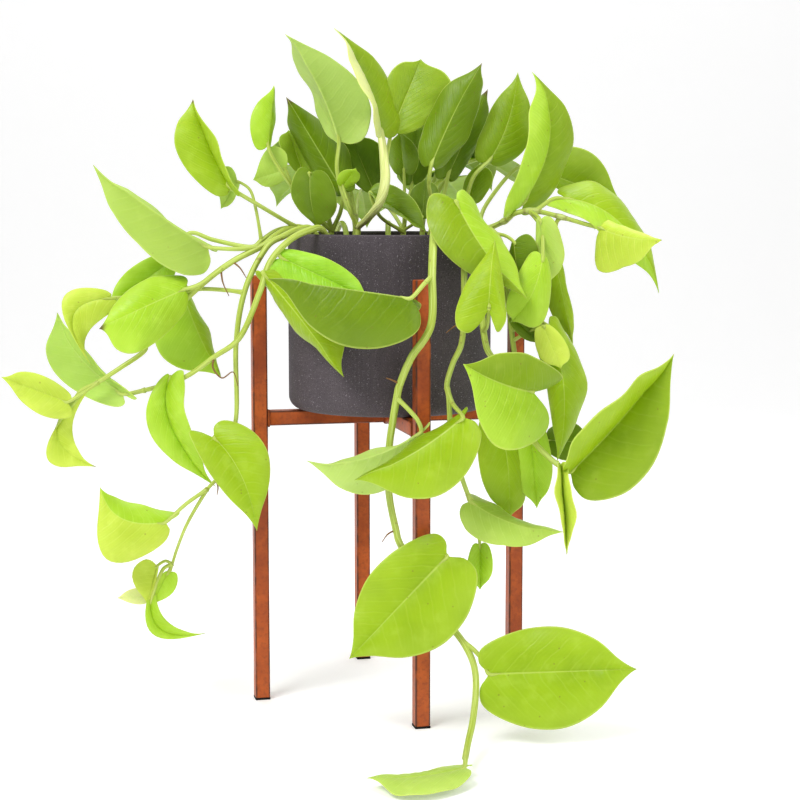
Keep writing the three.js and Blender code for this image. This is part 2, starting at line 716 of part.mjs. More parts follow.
function bladePoint(frame, { lobe = 1, taper = 0 }, side, around, across) {
  const heart = HEART.getPoint(around);
  let along = heart.x;
  if (around < 0.5) along -= (lobe - 1) * LOBE_DEPTH * Math.sin(2 * Math.PI * around);
  const narrowing = clamp((around - TAPER.from) / TAPER.over) * clamp((1 - around) / TAPER.end);
  const out = (Math.max(heart.y, 0) * (1 - taper * narrowing)) / BLADE_HALF_WIDTH;
  const rib = around * around;
  const place = rib + across * (along - rib);
  const point = frame.midrib.getPoint(place).addScaledVector(frame.outward[side], out * across);
  const phase = 2 * Math.PI * WAVE.turns * around + (side === 0 ? WAVE.shift : 0) + frame.length;
  const swell = PUFF * 4 * across * (1 - across) + WAVE.height * Math.sin(phase) * across * across;
  point.addScaledVector(frame.upward[side], swell * out * frame.length);
  const curl = Math.sin(Math.PI * clamp((place - TIP_CURL.from) / (1 - TIP_CURL.from)));
  return point.addScaledVector(frame.curl, TIP_CURL.height * frame.length * curl);
}

function mix(from, to, share) {
  return from + (to - from) * share;
}

function clamp(value) {
  return Math.min(Math.max(value, 0), 1);
}

// A blade as a closed solid: its rows run from edge to edge, one after another from base to tip
function bladeSolid(leaf, frame) {
  const rows = frame.length > BLADE_ROWS.from ? BLADE_ROWS.many : BLADE_ROWS.few;
  const columns = frame.length > BLADE_COLUMNS.from ? BLADE_COLUMNS.many : BLADE_COLUMNS.few;
  const width = 2 * columns + 1;
  const skin = [];
  const faces = [];
  for (let row = 1; row < rows; row += 1) {
    for (let column = -columns; column <= columns; column += 1) {
      const side = column < 0 ? 0 : 1;
      skin.push(bladePoint(frame, leaf, side, row / rows, Math.abs(column) / columns));
    }
  }
  const start = skin.push(frame.midrib.getPoint(0)) - 1;
  const end = skin.push(frame.midrib.getPoint(1)) - 1;
  const rim = [start];
  for (let row = 0; row < rows - 1; row += 1) {
    for (let column = 0; column < width - 1; column += 1) {
      const here = row * width + column;
      if (row === 0) faces.push([start, here + 1, here]);
      if (row === rows - 2) faces.push([here, here + 1, end]);
      else faces.push([here, here + 1, here + width + 1], [here, here + width + 1, here + width]);
    }
    rim.push(row * width);
  }
  rim.push(end);
  for (let row = rows - 2; row >= 0; row -= 1) rim.push(row * width + width - 1);

  const normals = skin.map(() => new THREE.Vector3());
  const steepest = skin.map(() => 1);
  const turned = faces.map(([a, b, c]) => {
    const edge = skin[b].clone().sub(skin[a]);
    return edge.cross(skin[c].clone().sub(skin[a]));
  });
  faces.forEach((face, number) => face.forEach((corner) => normals[corner].add(turned[number])));
  normals.forEach((normal) => normal.normalize());
  faces.forEach((face, number) => {
    const flat = turned[number].clone().normalize();
    for (const corner of face) {
      steepest[corner] = Math.min(steepest[corner], Math.max(flat.dot(normals[corner]), SHARPEST_FOLD));
    }
  });
  const position = [];
  for (const half of [BLADE_THICKNESS / 2, -BLADE_THICKNESS / 2]) {
    skin.forEach((point, corner) => {
      const shifted = point.clone().addScaledVector(normals[corner], half / steepest[corner]);
      position.push(...shifted.toArray());
    });
  }
  const under = skin.length;
  const index = [];
  for (const [a, b, c] of faces) index.push(a, b, c, under + a, under + c, under + b);
  rim.forEach((corner, number) => {
    const next = rim[(number + 1) % rim.length];
    index.push(corner, next, under + next, corner, under + next, under + corner);
  });
  return meshSolid(position, index);
}

// A leaf's edge, given as seen: the sight line fixes where it shows, and the half width that is
// left over, times the lift, brings it nearer or sends it back
function seenEdge([column, row, lift]) {
  return (widest, halfWidth) => {
    const line = sightLine(column, row).normalize();
    const reach = widest.clone().sub(VIEW.eye).dot(line);
    const outward = VIEW.eye.clone().addScaledVector(line, reach).sub(widest);
    const left = Math.sqrt(Math.max(halfWidth ** 2 - outward.lengthSq(), 0));
    return outward.addScaledVector(line, -left * lift);
  };
}

// A leaf's edge on a leaf of the far side: level with the midrib, tilted up by the cup's angle
function cuppedEdge(along, sign, cup) {
  return (_, halfWidth) => {
    const level = along.clone().cross(new THREE.Vector3(0, 0, 1)).normalize();
    const up = level.clone().cross(along);
    return level.multiplyScalar(sign * Math.cos(cup)).addScaledVector(up, Math.sin(cup))
      .multiplyScalar(halfWidth);
  };
}

function nearestOn(path, target) {
  return path.reduce((best, point) =>
    point.distanceTo(target) < best.distanceTo(target) ? point : best);
}

const STALK_ARCH = { rise: 0.12, back: 0.15 };

// Stalks leave a stem at sampled points, of which the last few at its thin end are left out
const SAMPLES = { perPoint: 8, leftOut: 3 };

function stalkPoints(leaf, frame, stem) {
  const sunk = frame.midrib.getPoint(STALK_SINK);
  if (leaf.stalk) {
    const first = nearestOn(stem, leaf.stalk[0] ?? leaf.base);
    return [first, ...leaf.stalk.slice(1), leaf.base, sunk];
  }
  const first = nearestOn(stem, leaf.base);
  const span = first.distanceTo(leaf.base);
  const bow = first.clone().add(leaf.base).multiplyScalar(0.5);
  bow.addScaledVector(frame.midrib.getTangent(0), -STALK_ARCH.back * span);
  bow.z += STALK_ARCH.rise * span;
  return [first, bow, leaf.base, sunk];
}

// A stem stands upright in its hole and bends above the soil
function stemPath(points) {
  const root = new THREE.Vector3(points[0].x, points[0].y, SOIL_TOP - ROOT_DEPTH + 2 * GAP);
  const collar = root.clone().setZ(SOIL_TOP + COLLAR);
  return { root, above: [collar, ...points.slice(1)] };
}

function spraySolid({ points, radius, leaves }) {
  const { root, above } = stemPath(points);
  const path = new THREE.CatmullRomCurve3(above, false, 'catmullrom');
  const samples = path.getPoints(above.length * SAMPLES.perPoint).slice(0, -SAMPLES.leftOut);
  let spray = tubeSolid([root, above[0]], [radius[0], radius[0]], STEM_SIDES, 2 * ROOT_DEPTH);
  spray = spray.add(tubeSolid(above, radius, STEM_SIDES, STEM_STEP));
  for (const leaf of leaves) {
    const frame = bladeFrame(leaf);
    const stalk = dropRepeats(stalkPoints(leaf, frame, samples));
    const shape = { sharpened: true, swell: leaf.sheath };
    spray = spray.add(tubeSolid(stalk, STALK_RADIUS, STALK_SIDES, STALK_STEP, shape));
    spray = spray.add(bladeSolid(leaf, frame));
  }
  return spray;
}

function dropRepeats(points) {
  return points.filter((point, index) => index === 0 || point.distanceTo(points[index - 1]) > SHORTEST_STEP);
}

function seenLeaf({ base, tip, mid, edges, stalk, ...form }) {
  return {
    ...form,
    base: seen(base),
    tip: seen(tip),
    mid: mid && seen(mid),
    stalk: stalk && stalk.map(seen),
    edges: edges.map(seenEdge),
  };
}

function rearLeaf(base, tip, cup, stalk) {
  const along = tip.clone().sub(base).normalize();
  const edges = [1, -1].map((sign) => cuppedEdge(along, sign, cup));
  const mid = base.clone().add(tip).multiplyScalar(0.5);
  mid.z += REAR_BEND * base.distanceTo(tip);
  const level = along.clone().cross(new THREE.Vector3(0, 0, 1)).normalize();
  const towards = level.cross(along).addScaledVector(along, REAR_FACING);
  return { base, tip, mid, edges, stalk, towards };
}

function rearTuft({ root, leaves, turn, height }) {
  const foot = new THREE.Vector3(root[0], root[1], SOIL_TOP);
  const top = foot.clone().setZ(SOIL_TOP + REAR_TUFT.stem);
  const list = [];
  for (let number = 0; number < leaves; number += 1) {
    const share = number / (leaves - 1);
    const angle = THREE.MathUtils.degToRad(mix(turn[0], turn[1], share));
    const away = new THREE.Vector3(Math.sin(angle), Math.cos(angle), 0);
    const odd = number % 2;
    const length = REAR_TUFT.length[odd];
    const base = top.clone().addScaledVector(away, REAR_TUFT.reach[odd]);
    base.z += mix(height[0], height[1], share) - REAR_TUFT.lower * odd;
    const tip = base.clone().addScaledVector(away, length * (1 - REAR_TUFT.drop / 2));
    tip.z -= length * REAR_TUFT.drop;
    const bow = top.clone().lerp(base, REAR_TUFT.bow.along);
    bow.z = mix(top.z, base.z, REAR_TUFT.bow.up);
    list.push(rearLeaf(base, tip, REAR_TUFT.cup[odd], [top, bow]));
  }
  const bend = top.clone().lerp(foot, REAR_TUFT.bend);
  return { points: [foot, bend, top], radius: REAR_TUFT.radius, leaves: list };
}

function rearVine({ root, rim, out, leaves }) {
  const foot = new THREE.Vector3(root[0], root[1], SOIL_TOP);
  const over = new THREE.Vector3(rim[0], rim[1], POT_TOP + REAR_VINE.crest);
  const outside = new THREE.Vector3(out[0], out[1], POT_TOP - REAR_VINE.hang);
  const { narrowed, back } = REAR_VINE.end;
  const end = new THREE.Vector3(out[0] * narrowed, out[1] + back, REAR_VINE.foot);
  const rise = foot.clone().lerp(over, REAR_VINE.bend).setZ(POT_TOP + REAR_VINE.rise);
  const middle = outside.clone().lerp(end, 0.5);
  const list = [];
  for (let number = 0; number < leaves; number += 1) {
    const share = (number + REAR_VINE.first) / leaves;
    const hand = number % 2 ? 1 : -1;
    const node = outside.clone().lerp(end, share);
    const length = mix(...REAR_VINE.length, share);
    const base = node.clone();
    base.x += hand * REAR_VINE.side - out[0] * REAR_VINE.lean;
    base.y += REAR_VINE.outward;
    base.z += REAR_VINE.lift;
    const tip = base.clone();
    tip.x += hand * length * REAR_VINE.slant.side - out[0] * REAR_VINE.lean;
    tip.y += length * REAR_VINE.slant.back;
    tip.z = Math.max(base.z - length * REAR_VINE.slant.down, REAR_VINE.lowest);
    list.push(rearLeaf(base, tip, REAR_VINE.cup));
  }
  return { points: [foot, rise, over, outside, middle, end], radius: REAR_VINE.radius, leaves: list };
}

function buildPlant() {
  const sprays = [
    ...SPRAYS.map(({ name, stem, radius, leaves }) => ({
      name,
      radius,
      points: stem.map(seen),
      leaves: leaves.map(seenLeaf),
    })),
    ...REAR_TUFTS.map((tuft) => ({ name: tuft.name, ...rearTuft(tuft) })),
    ...REAR_VINES.map((vine) => ({ name: vine.name, ...rearVine(vine) })),
  ];
  const roots = sprays.map(({ points, radius }) => ({ x: points[0].x, y: points[0].y, radius: radius[0] }));
  const meshes = sprays.map((spray) => named(spray.name, geometryOf(spraySolid(spray)), 'leaf'));
  return { roots, meshes };
}

// The whole object, with its floor at z = 0 and its middle over the origin
function buildModel() {
  const model = new THREE.Group();
  const plant = buildPlant();
  model.add(buildStand(), buildPot(), buildSoil(plant.roots), ...plant.meshes);
  model.updateMatrixWorld(true);
  const box = new THREE.Box3().setFromObject(model, true);
  const middle = box.getCenter(new THREE.Vector3());
  model.position.set(-middle.x, -middle.y, -box.min.z);
  model.updateMatrixWorld(true);
  return model;
}

export default buildModel();
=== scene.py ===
"""A potted pothos on a square-tube stand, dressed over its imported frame.

Lengths are millimetres in the stand's own frame (pot axis at x = y = 0, floor at z = 0, X right,
Y away from the front, Z up) until a mesh is made, which puts them in metres in the frame's place.
"""

import logging
from dataclasses import dataclass, field
from enum import Enum

import bpy
import numpy as np
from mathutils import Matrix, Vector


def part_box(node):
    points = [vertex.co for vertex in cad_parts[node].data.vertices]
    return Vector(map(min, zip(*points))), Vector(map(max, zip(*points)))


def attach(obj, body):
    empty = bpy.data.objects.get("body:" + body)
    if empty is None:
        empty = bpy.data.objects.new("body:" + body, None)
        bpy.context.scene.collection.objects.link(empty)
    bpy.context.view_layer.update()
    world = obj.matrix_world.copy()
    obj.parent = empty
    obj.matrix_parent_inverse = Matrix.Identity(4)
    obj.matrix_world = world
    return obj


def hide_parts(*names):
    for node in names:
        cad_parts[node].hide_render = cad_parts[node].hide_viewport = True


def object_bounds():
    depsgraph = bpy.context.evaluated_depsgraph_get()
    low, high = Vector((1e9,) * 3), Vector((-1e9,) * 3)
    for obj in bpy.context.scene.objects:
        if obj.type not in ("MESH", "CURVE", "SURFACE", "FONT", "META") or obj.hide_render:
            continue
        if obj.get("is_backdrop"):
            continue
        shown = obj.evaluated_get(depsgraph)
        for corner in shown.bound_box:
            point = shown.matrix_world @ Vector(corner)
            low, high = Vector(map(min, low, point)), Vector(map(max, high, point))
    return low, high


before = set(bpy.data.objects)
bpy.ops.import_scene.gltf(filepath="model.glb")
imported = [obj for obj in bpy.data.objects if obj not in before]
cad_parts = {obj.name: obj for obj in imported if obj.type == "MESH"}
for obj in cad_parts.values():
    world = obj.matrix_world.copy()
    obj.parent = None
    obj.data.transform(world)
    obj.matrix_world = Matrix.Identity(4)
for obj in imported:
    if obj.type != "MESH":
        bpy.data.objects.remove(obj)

log = logging.getLogger("pothos")
Array = np.ndarray
Point = tuple[float, float, float]
NodeSocket = bpy.types.NodeSocket


def unit(vector: Array) -> Array:
    """Scales vectors to length one along their last axis."""
    return vector / np.maximum(np.linalg.norm(vector, axis=-1, keepdims=True), 1e-9)


def linear(red: int, green: int, blue: int) -> tuple[float, float, float, float]:
    """Turns a display colour of 0 to 255 into the linear colour that a shader takes.

    Args:
        red: the display red.
        green: the display green.
        blue: the display blue.

    Returns:
        Linear red, green and blue, and an alpha of one.
    """
    share = np.array([red, green, blue]) / 255.0
    value = np.where(share <= 0.04045, share / 12.92, ((share + 0.055) / 1.055) ** 2.4)
    return (float(value[0]), float(value[1]), float(value[2]), 1.0)


def smoothstep(value: Array, low: float, high: float) -> Array:
    """Rises smoothly from 0 at low to 1 at high, as 3s^2 - 2s^3 of the share s."""
    share = np.clip((value - low) / (high - low), 0.0, 1.0)
    return share * share * (3.0 - 2.0 * share)


class Tone(Enum):
    """The greens of the leaves, as display colours."""

    BRIGHT = (149, 201, 35)
    LIME = (164, 201, 46)
    MID = (149, 180, 16)
    YELLOW = (186, 206, 68)
    PALE = (172, 200, 82)
    OLIVE = (131, 161, 6)
    DARK = (104, 134, 0)
    CREAM = (214, 222, 140)
    STEM = (184, 203, 92)
    NODE = (198, 210, 132)
    SCAR = (118, 104, 48)
    ROOT = (140, 98, 56)
    BROWN = (84, 58, 34)


@dataclass(frozen=True)
class Viewpoint:
    """The standing viewpoint that the plant was laid out from.

    A point (column, row, forward) lies on the sight line through that column and row of an
    800 x 800 picture, at that distance in front of the pot's axis.
    """

    focal: float = 1784.0
    centre: float = 400.0
    pitch: float = float(np.radians(6.5))
    eye: Point = (10.7, -1826.0, 514.0)

    def sight_line(self, column: float, row: float) -> Array:
        """The direction in which that column and row of the picture look."""
        right = (column - self.centre) / self.focal
        up = (self.centre - row) / self.focal
        level = np.cos(self.pitch) + up * np.sin(self.pitch)
        return np.array([right, level, up * np.cos(self.pitch) - np.sin(self.pitch)])

    def seen(self, point: Point) -> Array:
        """The place of a point given as (column, row, forward)."""
        line = self.sight_line(point[0], point[1])
        return np.array(self.eye) + line * (-self.eye[1] - point[2]) / line[1]

    def edge(self, mark: Point, widest: Array, half_width: float) -> Array:
        """The way from the midrib to an edge that shows at a column and row.

        The sight line fixes where the edge shows, and what is left of the half width, times the
        lift, brings the edge nearer or sends it back.

        Args:
            mark: the column and row where the edge shows, and its lift from -1 to 1.
            widest: the midrib's point where the blade is widest.
            half_width: half the blade's width there.

        Returns:
            The vector from widest to the edge.
        """
        line = unit(self.sight_line(mark[0], mark[1]))
        eye = np.array(self.eye)
        outward = eye + line * np.dot(widest - eye, line) - widest
        left = np.sqrt(max(half_width**2 - float(outward @ outward), 0.0))
        return outward - line * left * mark[2]


VIEW = Viewpoint()


def smooth_path(points: Array, steps: int) -> Array:
    """A smooth path through points: uniform Catmull-Rom spans, the end tangents mirrored.

    Args:
        points: the path's own points, one row each.
        steps: how many steps each span is cut into.

    Returns:
        The path's points, steps to a span and the last one.
    """
    ends = np.vstack([2 * points[0] - points[1], points, 2 * points[-1] - points[-2]])
    share = (np.arange(steps) / steps)[None, :, None]
    a, b, c, d = (ends[i : len(ends) - 3 + i, None, :] for i in range(4))
    spans = 0.5 * (
        2 * b + (c - a) * share + (2 * a - 5 * b + 4 * c - d) * share**2
        + (3 * b - a - 3 * c + d) * share**3
    )
    return np.vstack([spans.reshape(-1, points.shape[1]), points[-1:]])


@dataclass
class Patch:
    """A stretch of surface: points, triangles, and what its finish reads from it.

    uv holds two numbers a point, tone its own colour, rim how near it lies to an edge from 0 to 1,
    and slot the number of the finish of each triangle.
    """

    points: Array
    triangles: Array
    uv: Array
    tone: Array
    rim: Array
    slot: Array

    @staticmethod
    def joined(patches: list["Patch"]) -> "Patch":
        """All patches as one, their triangles counted on."""
        starts = np.cumsum([0] + [len(patch.points) for patch in patches[:-1]])
        return Patch(
            np.concatenate([patch.points for patch in patches]),
            np.concatenate([patch.triangles + start for patch, start in zip(patches, starts)]),
            np.concatenate([patch.uv for patch in patches]),
            np.concatenate([patch.tone for patch in patches]),
            np.concatenate([patch.rim for patch in patches]),
            np.concatenate([patch.slot for patch in patches]),
        )


def grid_triangles(rows: int, columns: int, around: bool) -> Array:
    """The triangles of a grid of rows by columns of points, two to a cell.

    Args:
        rows: how many rows of points the grid has.
        columns: how many points a row has.
        around: whether the last column meets the first.

    Returns:
        Triangles as point numbers, alike in every cell.
    """
    row = np.arange(rows - 1)[:, None]
    column = np.arange(columns if around else columns - 1)[None, :]
    beyond = (column + 1) % columns
    a, b = row * columns + column, row * columns + beyond
    c, d = a + columns, b + columns
    cells = np.stack([a, b, d, a, d, c], -1)
    return cells.reshape(-1, 3)


def whole(triangles: Array) -> Array:
    """The triangles that keep three different corners."""
    a, b, c = triangles.T
    return triangles[(a != b) & (b != c) & (a != c)]


@dataclass
class Workshop:
    """Turns patches into pieces in the frame's place.

    Attributes:
        shift: where the stand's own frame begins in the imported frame, in millimetres.
    """

    shift: Array

    def piece(self, name: str, patch: Patch, finishes: list[bpy.types.Material],
              smooth: bool = True) -> bpy.types.Object:
        """Makes a patch a mesh object that rides with the one body.

        Args:
            name: the piece's name.
            patch: its surface, in millimetres in the stand's own frame.
            finishes: its materials, in the order that the patch's slots count them.
            smooth: whether its faces are shaded smoothly.

        Returns:
            The object, at the origin, its place in its mesh.
        """
        mesh = bpy.data.meshes.new(name)
        places = (patch.points + self.shift) / 1000.0
        corners = patch.triangles.astype(np.int32)
        mesh.vertices.add(len(places))
        mesh.vertices.foreach_set("co", places.astype(np.float32).ravel())
        mesh.loops.add(corners.size)
        mesh.loops.foreach_set("vertex_index", corners.ravel())
        mesh.polygons.add(len(corners))
        mesh.polygons.foreach_set("loop_start", np.arange(0, corners.size, 3, dtype=np.int32))
        mesh.polygons.foreach_set("material_index", patch.slot.astype(np.int32))
        mesh.polygons.foreach_set("use_smooth", np.full(len(corners), smooth))
        mesh.update(calc_edges=True)
        layer = mesh.uv_layers.new(name="leaf_map")
        layer.data.foreach_set("uv", patch.uv[corners.ravel()].astype(np.float32).ravel())
        tone = mesh.attributes.new("tone", "FLOAT_COLOR", "POINT")
        tone.data.foreach_set("color", patch.tone.astype(np.float32).ravel())
        rim = mesh.attributes.new("rim", "FLOAT", "POINT")
        rim.data.foreach_set("value", patch.rim.astype(np.float32))
        for finish in finishes:
            mesh.materials.append(finish)
        piece = bpy.data.objects.new(name, mesh)
        bpy.context.scene.collection.objects.link(piece)
        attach(piece, "root")
        return piece


def revolved(section: Array, profile: Array, closed: bool, tone: Array) -> Patch:
    """A surface of rings: ring i is the section scaled by profile radius i, at profile height i.

    Args:
        section: the outline of a ring of radius one, as x and y, anticlockwise from above.
        profile: the radius and height of each ring. A radius of 0 closes the surface to a pole.
        closed: whether the last ring joins the first, as on a tube with a bore.
        tone: the linear colour of all of it.

    Returns:
        The closed surface, with the section's number as uv x and the way along as uv y.
    """
    profile = np.vstack([profile, profile[:1]]) if closed else profile
    rows, columns = len(profile), len(section)
    flat = section[None, :, :] * profile[:, None, :1]
    height = np.broadcast_to(profile[:, None, 1:], (rows, columns, 1))
    points = np.concatenate([flat, height], -1).reshape(-1, 3)
    keep = np.arange(rows * columns).reshape(rows, columns)
    if closed:
        keep[-1] = keep[0]
    for row in (0, -1):
        if profile[row, 0] == 0:
            keep[row] = keep[row, 0]
    triangles = whole(keep.ravel()[grid_triangles(rows, columns, True)])
    used, numbers = np.unique(triangles, return_inverse=True)
    way = np.concatenate([[0.0], np.cumsum(np.linalg.norm(np.diff(profile, axis=0), axis=1))])
    uv = np.stack(np.meshgrid(np.arange(columns) / columns, way / 1000.0), -1).reshape(-1, 2)
    return Patch(
        points[used], numbers.reshape(-1, 3), uv[used], np.tile(tone, (len(used), 1)),
        np.zeros(len(used)), np.zeros(len(triangles), int),
    )


def circle(sides: int) -> Array:
    """The outline of a circle of radius one: the cosine and sine of even steps of angle."""
    angle = np.linspace(0.0, 2 * np.pi, sides, endpoint=False)
    return np.stack([np.cos(angle), np.sin(angle)], -1)


def rounded_square(corner: float, flat: float) -> Array:
    """The outline of a square of half side one with round corners.

    Each corner is a quarter circle of the corner's radius, with one more point a little way along
    the flat on either side of it, which keeps the flats evenly shaded.

    Args:
        corner: the corner's radius, as a share of the half side.
        flat: how far along the flat the extra points stand, as a share of the half side.

    Returns:
        The outline's points, anticlockwise.
    """
    angle = np.linspace(0.0, np.pi / 2, 5)
    arc = (1 - corner) + corner * np.stack([np.cos(angle), np.sin(angle)], -1)
    quarter = np.vstack([[1.0, 1 - corner - flat], arc, [1 - corner - flat, 1.0]])
    turns = [np.array([[c, -s], [s, c]]) for c, s in ((1, 0), (0, 1), (-1, 0), (0, -1))]
    return np.vstack([quarter @ turn.T for turn in turns])


def tube_along(path: Array, radius: Array, sides: int, tone: Array, slot: int,
               groove: float = 0.0) -> Patch:
    """A round tube along a path: rings square to the path, each set against one fixed way up.

    Args:
        path: the centres of the rings.
        radius: the radius at each ring.
        sides: how many points a ring has.
        tone: the linear colour at each ring.
        slot: the number of the tube's finish.
        groove: how deep a channel runs along the tube's top, as a share of the radius.

    Returns:
        The tube, closed at both ends by a pole.
    """
    along = unit(np.gradient(path, axis=0))
    upward = np.array([0.0, 0.0, 1.0]) + 0.6 * unit(np.array([1e-3, -1.0, 0.0]))
    across = unit(np.cross(along, upward))
    beside = np.cross(across, along)
    angle = np.linspace(0.0, 2 * np.pi, sides, endpoint=False)
    dent = 1 - groove * np.exp(-((angle - np.pi / 2) ** 2) / 0.25)
    reach = radius[:, None] * dent[None, :]
    ring = (
        path[:, None, :]
        + across[:, None, :] * (reach * np.cos(angle))[..., None]
        + beside[:, None, :] * (reach * np.sin(angle))[..., None]
    )
    rows = len(path)
    points = np.vstack([ring.reshape(-1, 3), path[:1], path[-1:]])
    first, last = rows * sides, rows * sides + 1
    here = np.arange(sides)
    beyond = (here + 1) % sides
    start = np.stack([np.full(sides, first), here, beyond], -1)
    end = np.stack([np.full(sides, last), beyond + (rows - 1) * sides, here + (rows - 1) * sides], -1)
    body = grid_triangles(rows, sides, True)[:, ::-1]
    triangles = np.vstack([body, start, end])
    way = np.concatenate([[0.0], np.cumsum(np.linalg.norm(np.diff(path, axis=0), axis=1))]) / 1000.0
    uv = np.stack([np.repeat(way, sides), np.tile(np.abs(angle - np.pi) / np.pi, rows)], -1)
    uv = np.vstack([uv, [[way[0], 0.5], [way[-1], 0.5]]])
    tones = np.vstack([np.repeat(tone, sides, axis=0), tone[:1], tone[-1:]])
    return Patch(points, triangles, uv, tones, np.zeros(len(points)), np.full(len(triangles), slot))


@dataclass
class Leaf:
    """A leaf, as it is seen.

    Attributes:
        base: where the blade meets its stalk, as (column, row, forward).
        tip: the blade's tip.
        edges: where its two edges show at the widest, as (column, row, lift).
        mid: the midrib's halfway point where it is bent.
        stalk: the points that its stalk passes, the first on the stem.
        tone: the green of its upper side.
        second: the green of its second half, where that catches other light.
        face: 1 where its upper side is seen, -1 where its underside is.
        width: its width, as a share of the usual one.
        lobe: how deep its lobes reach behind the base, as a share of the usual depth.
        taper: how much narrower it is than the heart shape from its middle on.
        wither: how far its brown tip reaches, as a share of its length.
        sheath: how much thicker its stalk is halfway, in millimetres.
    """

    base: Point
    tip: Point
    edges: tuple[Point, Point]
    mid: Point | None = None
    stalk: list[Point] | None = None
    tone: Tone = Tone.MID
    second: Tone | None = None
    face: int = 1
    width: float = 1.0
    lobe: float = 1.0
    taper: float = 0.0
    wither: float = 0.0
    sheath: float = 0.0


@dataclass
class Spray:
    """A leafy stem that stands in its own hole in the soil.

    Attributes:
        name: the node that it stands for.
        radius: the stem's radius at the soil and at its end.
        stem: the points that the stem passes, as (column, row, forward).
        leaves: its leaves.
    """

    name: str
    radius: tuple[float, float]
    stem: list[Point]
    leaves: list[Leaf]


